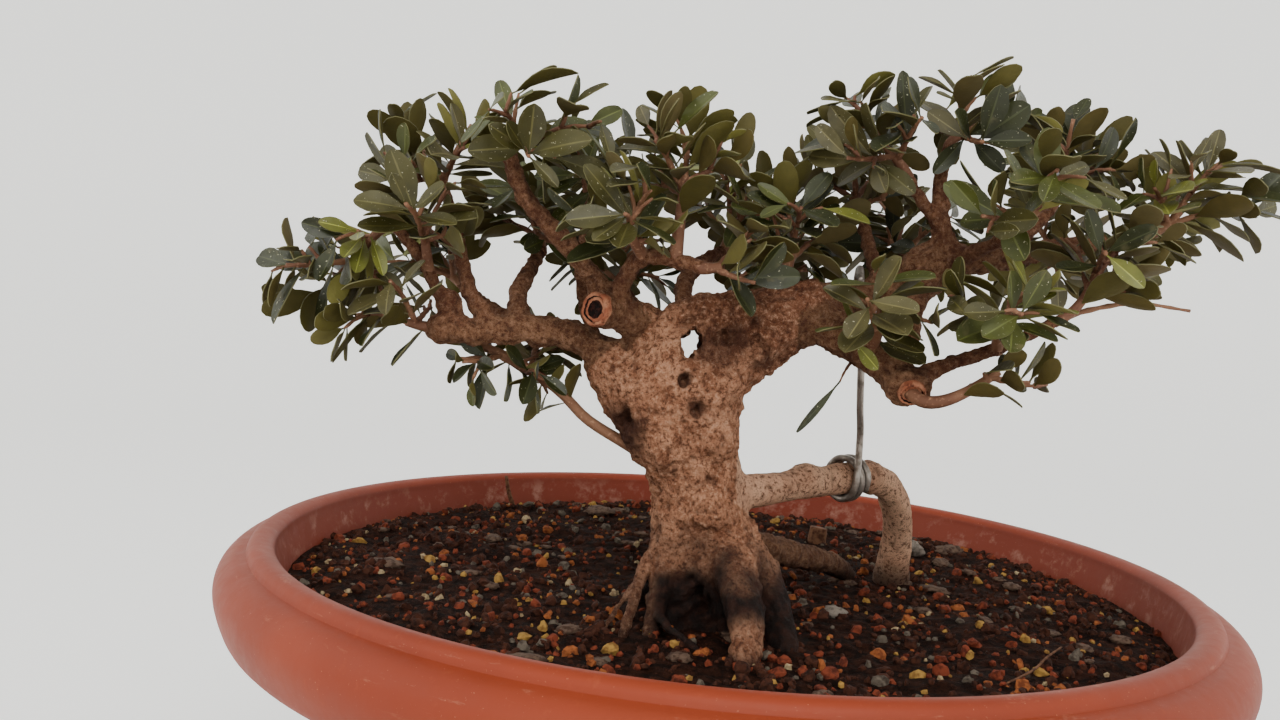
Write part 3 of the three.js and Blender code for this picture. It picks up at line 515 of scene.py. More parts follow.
def sawn_paints():
    """The callus and wood of a sawn face, and its dark heart"""
    paint = Paint("sawn_wood", roughness=0.85, specular=0.2)
    rough = paint.noise(700, 5, 0.7)
    paint.base = paint.mix(paint.step(paint.noise(260, 3), 0.4, 0.62), (140, 80, 56), (172, 118, 88))
    paint.over(paint.step(rough, 0.52, 0.66), (84, 44, 30))
    heart = mottled("dark_heart", (16, 8, 6), (52, 25, 19), (500, 4), (0.45, 0.62), (900, 4, 0.6),
                    roughness=0.9, specular=0.15)
    return [paint.done((rough, 0.7)), heart]


def twig_paint():
    paint = Paint("young_bark", roughness=0.7, specular=0.35)
    fine = paint.noise(700, 4)
    paint.base = paint.mix(paint.step(paint.noise(60, 2), 0.4, 0.6), (122, 84, 60), (98, 62, 43))
    paint.over(paint.step(fine, 0.55, 0.75), (158, 118, 90))
    return paint.done((fine, 0.25), (paint.noise(2400, 3), 0.1))


def leaf_paints(name, top, under, gloss):
    """The upper face, midrib, lower face and edge of one shade of leaf"""
    paint = Paint(f"leaf_{name}_upper", roughness=gloss, specular=0.32)
    specks = paint.step(paint.noise(1100, 2, 0.6), 0.67, 0.72, 0.75)
    dust = paint.step(paint.noise(160, 3), 0.6, 0.74, 0.3)
    paint.base = paint.mix(paint.step(paint.noise(90, 2), 0.35, 0.65), top, scaled(top, 0.8))
    paint.over(dust, (116, 106, 74))
    paint.over(specks, (176, 172, 144))
    paint.roughen(gloss, dust, 0.5)
    return [
        paint.done((paint.noise(420, 3), 0.22), (specks, 0.08)),
        mottled(f"leaf_{name}_midrib", scaled(top, 1.1), scaled(top, 1.4), (200, 2), roughness=0.55),
        mottled(f"leaf_{name}_lower", under, scaled(under, 0.78), (260, 3), relief=(900, 3, 0.12),
                roughness=0.68, specular=0.3),
        mottled(f"leaf_{name}_edge", (98, 94, 48), (70, 66, 32), (200, 2), roughness=0.6),
    ]


def pot_paint():
    paint = Paint("terracotta_coloured_plastic", specular=0.2)
    fine = paint.noise(260, 4, 0.6)
    inside = paint.mark("inside")
    paint.base = paint.mix(paint.step(paint.noise(14, 3), 0.35, 0.65), (130, 51, 27), (120, 46, 24))
    paint.over(paint.step(fine, 0.6, 0.8, 0.4), (148, 70, 43))
    scuffs = paint.step(paint.noise(60, 6, 0.75, stretch=(1.0, 1.0, 7.0)), 0.6, 0.74, 0.35)
    high = paint.step(paint.height(), (POT_HEIGHT - 22) * MM, (POT_HEIGHT - 2) * MM)
    paint.over(paint.times(scuffs, high), (190, 136, 110))
    # Painted shade: the pot's inner wall is darkened
    paint.over(paint.times(inside, 0.75), (112, 46, 30))
    lime = paint.times(inside, paint.step(paint.noise(90, 5, 0.7), 0.5, 0.7, 0.6))
    paint.over(paint.times(lime, paint.mark("lime")), (168, 128, 110))
    paint.over(paint.step(paint.noise(1500, 2), 0.7, 0.76, 0.4), (190, 128, 100))
    paint.roughen(0.44, fine, 0.2)
    return paint.done((paint.noise(30, 2), 0.6), (fine, 0.06))


def soil_paint():
    paint = Paint("moist_mix", roughness=0.95, specular=0.08)
    lumps = paint.noise(240, 6, 0.7)
    paint.base = paint.mix(paint.step(lumps, 0.4, 0.62), (18, 7, 3), (46, 23, 13))
    paint.over(paint.step(paint.noise(700, 4, 0.7), 0.62, 0.7), (78, 46, 31))
    return paint.done((lumps, 2.2), (paint.noise(900, 5, 0.7), 0.8))


def grit_paint(name, main, second):
    return mottled(f"grit_{name}", main, second, (500, 4), (0.4, 0.66), (1400, 4, 0.25),
                   roughness=0.88, specular=0.12)


def wire_paint():
    paint = Paint("dull_wire", roughness=0.42, metallic=0.7)
    dull = paint.step(paint.noise(300, 4), 0.42, 0.66)
    paint.base = paint.mix(dull, (148, 139, 130), (108, 97, 87))
    paint.roughen(0.34, dull, 0.22)
    return paint.done((paint.noise(1200, 3), 0.06))


# Bark: distances to the wood on a grid, with soft joins, skinned and given its relief

VOXEL = 0.85
FAR = 6.0
MARGIN = 7.0
FIELD_LOW = np.array([-112.0, -60.0, -6.0])
FIELD_HIGH = np.array([146.0, 96.0, 166.0])
field_shape = tuple(np.ceil((FIELD_HIGH - FIELD_LOW) / VOXEL).astype(int))
field = np.full(field_shape, FAR, np.float32)

# How far the joins of wood run into each other
TRUNK_SOFT = 0.5
MOST_SOFT = 3.0
RIM_SOFT = 2.0
BURL_SOFT = 4.0
HOLLOW_SOFT = 1.6
SAW_SOFT = 0.6

# Knobs along the limbs, as shares of the limb's radius
KNOB_OUT = 0.5
KNOB_SIZES = (0.62, 0.86)
KNOB_SOFT = 0.5
SMOOTH_KNOBS = 0.9

# The trunk's flutes, as (depth as a share, count round it, twist in a millimetre of height, start)
FLUTES = [(0.035, 3, 0.06, 0), (0.03, 5, -0.05, 1)]


def soft_least(a, b, soft):
    share = np.clip(0.5 + 0.5 * (a - b) / soft, 0, 1)
    return a + (b - a) * share - soft * share * (1 - share)


def blend(low, high, distance, soft, sign=1):
    """Joins a shape that lies between low and high to the wood, or with sign -1 cuts it out"""
    first = np.clip(np.floor((low - MARGIN - FIELD_LOW) / VOXEL).astype(int), 0, field_shape)
    last = np.clip(np.ceil((high + MARGIN - FIELD_LOW) / VOXEL).astype(int) + 1, 0, field_shape)
    axes = [FIELD_LOW[i] + VOXEL * np.arange(first[i], last[i]) for i in range(3)]
    part = tuple(slice(a, b) for a, b in zip(first, last))
    points = np.stack(np.meshgrid(*axes, indexing="ij"), axis=-1)
    field[part] = sign * soft_least(sign * field[part], distance(points), soft)


def capsule(a, b, start, end):
    def distance(points):
        along = b - a
        share = np.clip((points - a) @ along / (along @ along), 0, 1)
        return lengths(points - a - share[..., None] * along) - (start + (end - start) * share)
    return distance


def join_rod(line, radii, soft):
    """A rod of round links, joined as a whole so that its own links add no girth"""
    links = [capsule(*link) for link in zip(line, line[1:], radii, radii[1:])]
    most = max(radii)

    def distance(points):
        return reduce(np.minimum, (link(points) for link in links), FAR)

    blend(line.min(0) - most, line.max(0) + most, distance, soft)


def join_ball(centre, radius, soft):
    centre = np.asarray(centre, float)
    blend(centre - radius, centre + radius, capsule(centre, centre + 0.01 * UP, radius, radius), soft)


def join_knobs(draws, line, radii):
    """Knuckles and old scars along a limb"""
    for i in range(2, len(line) - 1, 2):
        centre = line[i] + KNOB_OUT * radii[i] * unit(draws.normal(size=3))
        join_ball(centre, radii[i] * draws.uniform(*KNOB_SIZES), KNOB_SOFT * radii[i])


def join_rim(x, y, z, ring, thick):
    centre = np.array([x, y, z])

    def distance(points):
        dx, dy, dz = np.moveaxis(points - centre, -1, 0)
        return np.hypot(np.hypot(dx, dz) - ring, dy) - thick

    blend(centre - ring, centre + ring, distance, RIM_SOFT)


def join_trunk():
    x0, y0, level, wide, deep = spline(TRUNK_SECTIONS, 80).T

    def distance(points):
        x, y, z = np.moveaxis(points, -1, 0)
        half_wide, half_deep = np.interp(z, level, wide), np.interp(z, level, deep)
        dx = (x - np.interp(z, level, x0)) / half_wide
        dy = (y - np.interp(z, level, y0)) / half_deep
        turn = np.arctan2(dy, dx)
        flutes = sum(size * np.cos(count * turn + twist * z + start) for size, count, twist, start in FLUTES)
        return np.maximum((np.hypot(dx, dy) - 1 - flutes) * np.minimum(half_wide, half_deep), z - level[-1])

    blend(np.array([-40, -30, -6]), np.array([36, 30, 104]), distance, TRUNK_SOFT)


def cut_hollow(x, y, z, wide, deep, high, lean):
    """Cuts a ragged oval hollow that leans to one side"""
    turn = math.radians(lean)
    centre = np.array([x, y, z])
    most = max(wide, deep, high)
    least = min(wide, high)
    wave = 2.2 / least

    def distance(points):
        dx, dy, dz = np.moveaxis(points - centre, -1, 0)
        across = dx * math.cos(turn) - dz * math.sin(turn)
        upward = dx * math.sin(turn) + dz * math.cos(turn)
        ragged = 0.13 * np.sin(wave * (2 * dx + dz) + x) + 0.1 * np.sin(wave * (3.1 * dz - 2.3 * dx + dy))
        return (np.sqrt((across / wide) ** 2 + (dy / deep) ** 2 + (upward / high) ** 2) - 1 - ragged) * least

    blend(centre - most, centre + most, distance, HOLLOW_SOFT, -1)


# The wood is cut this far behind a sawn face
FACE_SINK = 1.3

# Sawn faces: where each stands, which way it looks, and the radius of the cut and of the face
CUT_END = limb_lines["cut_stub"][-1]
LOW_CUT_END = limb_lines["right_low_bough"][-1]
SAWN = [(CUT_END, unit(CUT_END - limb_lines["cut_stub"][-4]), 5.4, 5.1),
        (LOW_CUT_END, np.array([0.0, -0.8, -0.6]), 4.2, 4.0)]

# Rings of a sawn face, as (share of its radius, height): bark, callus, crack, wood, and a sunk dark heart
FACE_RINGS = [(1.04, -2.2), (1.06, -0.4), (1.0, 0.5), (0.9, 0.75), (0.8, 0.5), (0.74, -0.1), (0.7, 0.15),
              (0.56, 0.2), (0.5, -0.5), (0.3, -0.8), (0.01, -0.6)]
FACE_DARK_RINGS = (4, 7, 8, 9)
FACE_SIDES = 56
FACE_SWELL = 0.09
FACE_LIFT = 0.4


def saw_cut(centre, way, radius):
    """Takes off the wood beyond a flat face"""
    def beyond(points):
        off = points - centre
        return np.maximum(-(off @ way), lengths(off) - radius * 2)

    reach = radius * 2.2
    blend(centre - reach, centre + reach, beyond, SAW_SOFT, -1)


def build_cut_faces(paints):
    verts, faces, slots = [], [], []
    for centre, way, _, radius in SAWN:
        side, over = sides_of(way)
        rings, ring_quads = lathe([(share * radius, height) for share, height in FACE_RINGS], FACE_SIDES)
        faces += [tuple(i + len(verts) for i in face) for face in ring_quads]
        slots += [int(i // FACE_SIDES in FACE_DARK_RINGS) for i in range(len(ring_quads))]
        for x, y, z in rings:
            swell = 1 + FACE_SWELL * noise.noise(Vector((x, y, radius)) / 2.4)
            lift = z + FACE_LIFT * noise.noise(Vector((x, y, 4)) / 0.8)
            verts.append(centre + swell * (x * side + y * over) + lift * way)
    return finish_piece(make_object("sawn_faces", np.array(verts) + TREE, faces, paints, slots))


def skin():
    """The field's zero surface as points and four-sided faces that face outwards"""
    grid = openvdb.FloatGrid(FAR)
    grid.copyFromArray(field)
    points, quads = grid.convertToQuads(isovalue=0.0)
    points = points * VOXEL + FIELD_LOW
    a, b, c, d = np.moveaxis(points[quads], 1, 0)
    volume = (a * (np.cross(b, c) + np.cross(c, d))).sum()
    return points, quads if volume > 0 else quads[:, ::-1]


def normals_of(points, quads):
    a, b, c, d = np.moveaxis(points[quads], 1, 0)
    flat = np.cross(c - a, d - b)
    total = np.zeros_like(points)
    for k in range(4):
        np.add.at(total, quads[:, k], flat)
    return unit(total + 1e-12)


def nearest_wood(points):
    """The radius and name of the limb or trunk part that each point lies on"""
    marks = []
    for name, (radii, _) in LIMBS.items():
        line = limb_lines[name]
        marks += [(point, radius, name) for point, radius in zip(line, spread(radii, len(line)))]
    for radii, part in TRUNK_PARTS:
        line = spline(part, 10)
        marks += [(point, radius, "trunk") for point, radius in zip(line, spread(radii, len(line)))]
    marks += [(section[:3], min(section[3:]), "trunk") for section in spline(TRUNK_SECTIONS, 30)]
    tree = kdtree.KDTree(len(marks))
    for i, (point, _, _) in enumerate(marks):
        tree.insert(Vector(point), i)
    tree.balance()
    found = (tree.find_n(Vector(point), 4) for point in points)
    best = [marks[min(hits, key=lambda hit: hit[2] - marks[hit[1]][1])[1]] for hits in found]
    return np.array([radius for _, radius, _ in best]), np.array([name for _, _, name in best])


SMOOTH_LIMBS = ("low_arch_run", "low_arch_foot")
KNOB_SEED = 23

# Widths of the relief's lumps, warts and grain, and their heights, which grow with the wood's own size
LUMP = 9.0
WART = 2.6
GRAIN = 1.1
LUMP_RISE = 1.4
WART_RISE = (0.4, 0.75)
GRAIN_RISE = 0.28
FULL_RADIUS = 13.0
LEAST_SIZE = 0.14
SMOOTH_SHARE = 0.25
SAW_FADE = 6.0

# The pale end of the front root
DRY_ROOT = [12.5, -38, 3]

# Patches of painted shade over the rough wound, the furrows and the knots: [x, y, z, reach, strength]
PAINTED_SHADE_PATCHES = [[-26, -8, 61, 11, 0.9], [-1, -16, 89, 9, 0.6], [6, -14, 92.5, 6, 0.7], [16, -12, 84, 6, 0.55],
                [-8, -14, 78, 4.5, 0.55], [-5, -16, 69, 5, 0.6], [11, -12, 97.5, 3.6, 0.6]]


def relief_of(points, radii, names):
    """Height of the bark over the wood, in millimetres: broad lumps, warts and fine grain"""
    size = np.clip(radii / FULL_RADIUS, LEAST_SIZE, 1)
    rough = np.where(np.isin(names, SMOOTH_LIMBS), SMOOTH_SHARE, 1.0)
    lumps = np.array([noise.fractal(Vector((x, y, 0.7 * z)) / LUMP, 0.9, 2.1, 3) for x, y, z in points])
    warts = np.array([noise.fractal(Vector((x, y, 0.8 * z)) / WART, 0.7, 2.0, 2) for x, y, z in points])
    grain = np.array([noise.noise(Vector(point) / GRAIN) for point in points])
    height = LUMP_RISE * size * lumps + rough * within(WART_RISE, size) * warts + GRAIN_RISE * rough * grain
    return height, warts


def build_bark(material):
    draws = np.random.default_rng(KNOB_SEED)
    join_trunk()
    for radii, points in [*TRUNK_PARTS, *ROOTLETS, *FOLDS]:
        line = spline(points, 10)
        join_rod(line, spread(radii, len(line)), min(MOST_SOFT, 0.6 * radii[0]))
    for name, (radii, _) in LIMBS.items():
        line = limb_lines[name][::2]
        radii = spread(radii, len(line))
        join_rod(line, radii, min(MOST_SOFT, 0.7 * radii[0]))
        join_knobs(draws, line, SMOOTH_KNOBS * radii if name in SMOOTH_LIMBS else radii)
    for x, y, z, radius in BURLS:
        join_ball([x, y, z], radius, BURL_SOFT)
    for rim in KNOT_RIMS:
        join_rim(*rim)
    for hollow in [*TRUNK_HOLLOWS, *FURROWS]:
        cut_hollow(*hollow)
    for end, way, radius, _ in SAWN:
        saw_cut(end - FACE_SINK * way, way, radius)
    points, quads = skin()
    radii, names = nearest_wood(points)
    height, warts = relief_of(points, radii, names)
    away = np.minimum(*(lengths(points - end) for end, _, _, _ in SAWN))
    height *= 1 - np.exp(-(away / SAW_FADE) ** 4)
    made = make_object("bark", points + normals_of(points, quads) * height[:, None] + TREE, quads, [material])
    add_marks(made, points, radii, names, warts)
    return finish_piece(made, ["trunk", *LIMBS])


def add_marks(made, points, radii, names, warts):
    """Where the bark is damp, red, smooth, young or a bough's, and the painted shade of its pits and hollows,
    as numbers on its points
    """
    x, y, z = points.T
    wobble = np.array([noise.noise(Vector(point) / 8) for point in points])
    damp = 1 - smoothstep(z + 9 * wobble, 14, 36)
    damp *= 0.3 + 0.7 * smoothstep(lengths(points - DRY_ROOT) + 2 * wobble, 5, 10.5)
    rootlet = smoothstep(-x, 12, 17) * smoothstep(-y, 6, 12)
    damp = np.maximum(damp * (1 - 0.5 * rootlet), 0.75 * (1 - smoothstep(z + 2 * wobble, 0.5, 3.5)))
    damp = np.where(names == "low_arch_foot", 0.8 * (1 - smoothstep(z, 2, 12)), damp)
    damp = np.where(names == "side_root", 0.35 + 0.5 * (1 - smoothstep(z, 4, 14)), damp)
    # Painted shade: darker in the hollows between the warts, over the patches, and in the knot holes
    pit = smoothstep(-warts, 0.25, 0.8) * 0.6
    for *centre, reach, strength in PAINTED_SHADE_PATCHES:
        away = lengths(points - centre) / reach + 0.35 * wobble
        pit = np.maximum(pit, strength * (1 - smoothstep(away, 0.4, 1.15)))
    for *centre, wide, deep, high, _ in [*TRUNK_HOLLOWS[1:3], FURROWS[1]]:
        away = lengths((points - centre) / [wide + 0.6, deep, high + 0.6])
        pit = np.maximum(pit, 1 - smoothstep(away, 0.6, 1.2))
    plain = np.isin(names, SMOOTH_LIMBS)
    mark_points(made, damp=damp, pit=pit, smooth=0.75 * plain, twig=1 - smoothstep(radii, 2.0, 4.4),
                bough=0.8 * ((names != "trunk") & ~plain),
                red=smoothstep(z, 74, 92) * smoothstep(x, -20, 0) * 0.6 * (1 - smoothstep(x, 30, 60)))


# Foliage: twigs and leaves by the seeded rule, tested against limbs, other masses and each other

CROWN_SQUASH = 1.2
SQUASH = np.array([1.0, 1.0, CROWN_SQUASH])
FIRST_SEED = 11
SEED_STEP = 7
FINE_SEED = 1000
GOLDEN_ANGLE = math.pi * (3 - math.sqrt(5))
STEM_STEPS = 16
STEM_RADIUS = 2.2
STEM_TIP_RADIUS = 1.5
STEM_END_RADIUS = 1.2
STEM_SHORTFALL = 0.2
STEM_BEND = 0.45
SHOOT_SHARE = 6.2
SHOOT_FAN = 1.7
SHOOT_BEND = 0.1
SHOOT_DROOP = 0.4
SHOOT_RADIUS = 0.95
LEAF_TRIES = [(0, 1), (0.5, 1), (-0.5, 0.95), (0.9, 0.85), (-0.9, 0.8), (0, 0.7)]

# What the finer twigs and leaves have instead of the solid ones
LEAF_LENGTH = 18.0
LEAF_WIDTH = 0.45
PETIOLE = 1.4
FIRST_LEAF = 0.7
NODE_SPACING = 4.4
STEM_NODE_SPACING = 6.0
REACH_TRIES = (0.15, 0.05, -0.05)
SIDE_TWIGS = 3
SIDE_LENGTH = 10.0
SIDE_BEND = 0.08
SIDE_RADIUS = 0.7
SIDE_TURNS = (0, 2.1, 4.2, 1.0)
SMALLER_TIP_LEAF = 0.85

# Ranges of what is drawn, as (least, spread): places and sizes as shares, angles in radians
SHOOT_START = (0.4, 0.55)
SHOOT_REACH = (0.5, 0.2)
SIDE_START = (0.3, 0.45)
SIDE_SIZE = (0.75, 0.5)
LEAF_STEP = (0.85, 0.3)
LEAF_OPEN = (0.85, 0.4)
TIP_LEAF_OPEN = (0.45, 0.4)
LEAF_SIZE = (0.7, 0.5)
LEAF_LEAN = (0.35, 0.5)
LEAF_SPREAD = (0.84, 0.4)
LEAF_BEND = (-0.08, 0.24)
LEAF_FOLD = (0.12, 0.3)
LEAF_WAVE = (0.0, 0.1)

# Clearances: inside a mass's own space, and to limbs, twigs and other leaves, which are tested where near
PLANE_SLACK = 3.5
TWIG_INSET = 0.3
TWIG_CLEAR = 0.8
LEAF_INSET = 0.6
LEAF_CLEAR = 1.0
LEAF_TWIG_CLEAR = 1.1
LEAF_NEAR = 22.0
LINK_NEAR = 18.0


def drawer(seed):
    """The same numbers between 0 and 1 each run, by 32-bit mixing"""
    state = seed & 0xFFFFFFFF

    def draw():
        nonlocal state
        state = (state + 0x6D2B79F5) & 0xFFFFFFFF
        t = state
        t = ((t ^ (t >> 15)) * (t | 1)) & 0xFFFFFFFF
        t ^= (t + (((t ^ (t >> 7)) * (t | 61)) & 0xFFFFFFFF)) & 0xFFFFFFFF
        return (t ^ (t >> 14)) / 4294967296

    return draw


class Mass:
    def __init__(self, name, seed):
        self.name, self.seed = name, seed
        self.limb, self.share, centre, self.reach = MASSES[name]
        self.centre = np.array(centre, float)
        self.stem, self.stem_radii = self.make_stem()

    def make_stem(self):
        if self.name == "trunk_shoot":
            radii = [SHOOT_STEM_RADIUS, STEM_TIP_RADIUS]
            return spline(SHOOT_STEM, STEM_STEPS), spread(radii, STEM_STEPS + 1)
        limb = limb_lines.get(self.limb)
        start = np.array(INNER_ROOT, float) if limb is None else at_share(limb, self.share)
        out = unit(self.centre - start)
        along = out if limb is None or self.share < 1 else unit(limb[-1] - limb[-2])
        tip = self.centre - STEM_SHORTFALL * self.reach * out
        bend = start + along * STEM_BEND * lengths(tip - start)
        t = np.linspace(0, 1, 40)[:, None]
        line = even((1 - t) ** 2 * start + 2 * t * (1 - t) * bend + t ** 2 * tip, STEM_STEPS)
        radii = [STEM_RADIUS] if limb is None else LIMBS[self.limb][0]
        size = np.interp(self.share, np.linspace(0, 1, len(radii)), radii)
        return line, spread([min(max(size, STEM_TIP_RADIUS), STEM_RADIUS), STEM_END_RADIUS], STEM_STEPS + 1)

    def find_walls(self, others):
        """The planes between this mass's own space and its neighbours'"""
        units, walls = [], []
        for other in others:
            away = (other.centre - self.centre) * SQUASH
            apart = lengths(away)
            if other is not self and apart <= self.reach + other.reach:
                units.append(away / apart)
                walls.append((apart ** 2 + self.reach ** 2 - other.reach ** 2) / (2 * apart))
        self.units, self.walls = np.array(units).reshape(-1, 3), np.array(walls)

    def room(self, points):
        """How far points lie inside the mass's own space, with some slack at its neighbours"""
        off = (points - self.centre) * SQUASH
        room = self.reach - lengths(off)
        if len(self.walls):
            room = np.minimum(room, (self.walls - off @ self.units.T).min(-1) + PLANE_SLACK)
        return room / CROWN_SQUASH


def segment_distances(points, starts, ends):
    along = ends - starts
    share = np.einsum("pkc,kc->pk", points[:, None] - starts, along) / np.maximum((along ** 2).sum(-1), 1e-9)
    share = np.clip(share, 0, 1)
    return lengths(points[:, None] - starts - share[..., None] * along)


# Points of a leaf's blade that are tested, along it and across it
BLADE_SHARES, BLADE_ACROSS = (grid.ravel() for grid in np.meshgrid(
    np.linspace(0.2, 1, 8), [-1, -0.5, 0, 0.5, 1], indexing="ij"))
BLADE_GAP = 0.55


def blade_half(share):
    """Half of a leaf's width along it, as a share of its most"""
    share = np.clip(share, 0, 1)
    return np.sin(math.pi * share ** 1.25) ** (0.8 - 0.35 * share)


def blade_points(leaf):
    half = 0.5 * leaf["width"] * blade_half(BLADE_SHARES)
    return (leaf["base"] + np.outer(BLADE_SHARES * leaf["length"] + PETIOLE, leaf["ahead"])
            + np.outer(BLADE_ACROSS * half, leaf["side"]))


def crosses(points, leaf):
    """Whether any of the points lies in or right beside a leaf's blade"""
    off = points - leaf["base"]
    share = (off @ leaf["ahead"] - PETIOLE) / leaf["length"]
    half = 0.5 * leaf["width"] * blade_half(share) + BLADE_GAP
    inside = (share > 0.05) & (share < 1.04) & (np.abs(off @ leaf["side"]) < half)
    return bool((inside & (np.abs(off @ leaf["face"]) < BLADE_GAP)).any())


class Crown:
    def __init__(self):
        self.masses = [Mass(name, FIRST_SEED + SEED_STEP * i) for i, name in enumerate(MASSES)]
        self.links, self.twigs, self.leaves = [], [], []
        self.middles = np.zeros((0, 3))
        for name, (radii, _) in LIMBS.items():
            self.add_links(name, limb_lines[name][::3], spread(radii, 9))
        for radii, points in TRUNK_PARTS:
            self.add_links("trunk", spline(points, 6), spread(radii, 7))
        for mass in self.masses:
            mass.find_walls(self.masses)
            self.add_links(mass.name, mass.stem[::4], mass.stem_radii[::4])
        self.add_links("wire", wire_route(40), np.full(41, WIRE_RADIUS))

    def add_links(self, owner, line, radii):
        """Short round rods that leaves and twigs keep clear of"""
        pairs = zip(line, line[1:], radii, radii[1:])
        self.links += [(owner, a, b, max(thick, thin)) for a, b, thick, thin in pairs]

    def links_near(self, mass):
        rows = [row for row in self.links if row[0] != mass.name
                and lengths((row[1] + row[2]) / 2 - mass.centre) < mass.reach + row[3] + LINK_NEAR]
        return [np.array([row[k] for row in rows]) for k in (1, 2, 3)]

    def free(self, points, margin):
        starts, ends, radii = self.near
        return bool((segment_distances(points, starts, ends) > radii + margin).all())

    def twig_fits(self, mass, line, radius):
        return mass.room(line).min() > radius + TWIG_INSET and self.free(line, radius + TWIG_CLEAR)

    def leaf_fits(self, mass, leaf, twigs):
        points = blade_points(leaf)
        leaf["blade"] = points
        if mass.room(points).min() < LEAF_INSET or not self.free(points, LEAF_CLEAR):
            return False
        if twigs:
            ends = np.array([(twig[0], twig[-1]) for twig in twigs])
            if segment_distances(points, ends[:, 0], ends[:, 1]).min() < LEAF_TWIG_CLEAR:
                return False
        close = np.nonzero(lengths(self.middles - points.mean(0)) < LEAF_NEAR)[0]
        near = [self.leaves[i] for i in close]
        return not any(crosses(points, other) or crosses(other["blade"], leaf) for other in near)

    def add_leaves(self, mass, line, draw, twigs, spacing=NODE_SPACING):
        """Leaves in pairs from the tip back, and the share of the line that the outermost one stands at"""
        spray = int(draw() * 1000)
        outermost = 0.0
        length = lengths(np.diff(line, axis=0)).sum()
        turn = draw() * math.pi
        back = 0.0
        while back < 0.85 * length:
            share = 1 - (back + FIRST_LEAF) / length
            axis = unit(at_share(line, min(share + 0.05, 1)) - at_share(line, max(share - 0.05, 0)))
            point = at_share(line, share)
            for sign in (1, -1):
                if self.try_leaf(mass, point, axis, turn, sign, draw, spray, twigs, back == 0):
                    outermost = max(outermost, share)
            back += spacing * within(LEAF_STEP, draw())
            turn += math.pi / 2
        return outermost

    def try_leaf(self, mass, point, axis, turn, sign, draw, spray, twigs, at_tip):
        """Adds a leaf in the first of a few turns and sizes that is clear of everything"""
        apart = within(TIP_LEAF_OPEN if at_tip else LEAF_OPEN, draw())
        kind = SHOOT_LEAF if mass.name == "trunk_shoot" else 1
        size = LEAF_LENGTH * kind * within(LEAF_SIZE, draw()) * (SMALLER_TIP_LEAF if at_tip else 1)
        lean = within(LEAF_LEAN, draw())
        width, bend, fold, wave = (draw() for _ in range(4))
        flat, over = sides_of(axis)
        for twist, shrink in LEAF_TRIES:
            across = math.cos(turn + twist) * flat + math.sin(turn + twist) * over
            ahead = unit(axis * math.cos(apart) + across * sign * math.sin(apart))
            face = unit(axis - ahead * (axis @ ahead))
            face = unit(face + lean * (UP - ahead * ahead[2]))
            side = unit(np.cross(face, ahead))
            leaf = {"base": point, "ahead": ahead, "side": side, "face": np.cross(ahead, side),
                    "length": size * shrink, "width": size * shrink * LEAF_WIDTH * within(LEAF_SPREAD, width),
                    "bend": within(LEAF_BEND, bend), "fold": within(LEAF_FOLD, fold),
                    "wave": within(LEAF_WAVE, wave), "spray": spray}
            if self.leaf_fits(mass, leaf, twigs):
                self.leaves.append(leaf)
                self.middles = np.vstack([self.middles, leaf["blade"].mean(0)])
                return True
        return False

    def grow_mass(self, mass):
        """Shoots and their side twigs, each cut back to its outermost leaf, and leaves along the stem"""
        draw, fine = drawer(mass.seed), drawer(mass.seed + FINE_SEED)
        self.near = self.links_near(mass)
        count = SHOOT_TWIGS if mass.name == "trunk_shoot" else round(mass.reach / SHOOT_SHARE)
        lines = [self.shoot_line(mass, draw, k, count) for k in range(count)]
        shoots = [line for line in lines if line is not None]
        sides = [(k, *side) for k, line in enumerate(shoots) for side in self.side_lines(mass, line, fine)]
        twigs = [*shoots, *(line for _, _, line in sides)]
        ends = []
        for line in twigs:
            others = [twig for twig in twigs if twig is not line]
            ends.append(self.add_leaves(mass, line, fine, others))
        self.add_leaves(mass, mass.stem[4:], fine, twigs, STEM_NODE_SPACING)
        for (k, share, line), end in zip(sides, ends[len(shoots):]):
            if end > 0:
                ends[k] = max(ends[k], share)
                self.twigs.append((up_to(line, end), SIDE_RADIUS))
        self.twigs += [(up_to(line, end), SHOOT_RADIUS) for line, end in zip(shoots, ends) if end > 0]

    def shoot_line(self, mass, draw, k, count):
        height = 1 - (SHOOT_FAN * (k + 0.5)) / count
        ring = math.sqrt(max(0, 1 - height * height))
        angle = k * GOLDEN_ANGLE + mass.seed
        way = np.array([ring * math.cos(angle), ring * math.sin(angle), height / CROWN_SQUASH])
        start = at_share(mass.stem, within(SHOOT_START, draw()))
        reach = within(SHOOT_REACH, draw())
        for extra in REACH_TRIES:
            tip = mass.centre + way * (reach + extra) * mass.reach
            lift = SHOOT_BEND * lengths(tip - start) * UP * (1 if tip[2] > start[2] else -SHOOT_DROOP)
            line = spline([start, (start + tip) / 2 + lift, tip], 8)
            if self.twig_fits(mass, line, TWIG_CLEAR):
                return line
        return None

    def side_lines(self, mass, line, draw):
        """Side twigs, each with the share of the line that it leaves from"""
        made = []
        axis = unit(line[-1] - line[0])
        flat, over = sides_of(axis)
        for k in range(SIDE_TWIGS):
            share = within(SIDE_START, (k + draw()) / SIDE_TWIGS)
            start = at_share(line, share)
            length = SIDE_LENGTH * within(SIDE_SIZE, draw())
            angle = 2 * math.pi * draw()
            for turn in SIDE_TURNS:
                across = math.cos(angle + turn) * flat + math.sin(angle + turn) * over
                tip = start + length * unit(axis * 0.75 + across + 0.25 * UP)
                twig = spline([start, (start + tip) / 2 + SIDE_BEND * length * UP, tip], 5)
                if self.twig_fits(mass, twig[1:], SIDE_RADIUS):
                    made.append((share, twig))
                    break
        return made


# One narrow leaf that hangs alone on a thin twig, and a bare stick past the right low limb
LONE_TWIG = [[42, -13, 87], [39, -19, 84], [37, -23, 81]]
LONE_LEAF_TIP = [26, -24, 66]
LONE_LEAF_WIDTH = 2.4
BARE_STICK = [[98, -26, 103.5], [110, -24, 108], [124, -23, 111], [141, -22, 110]]


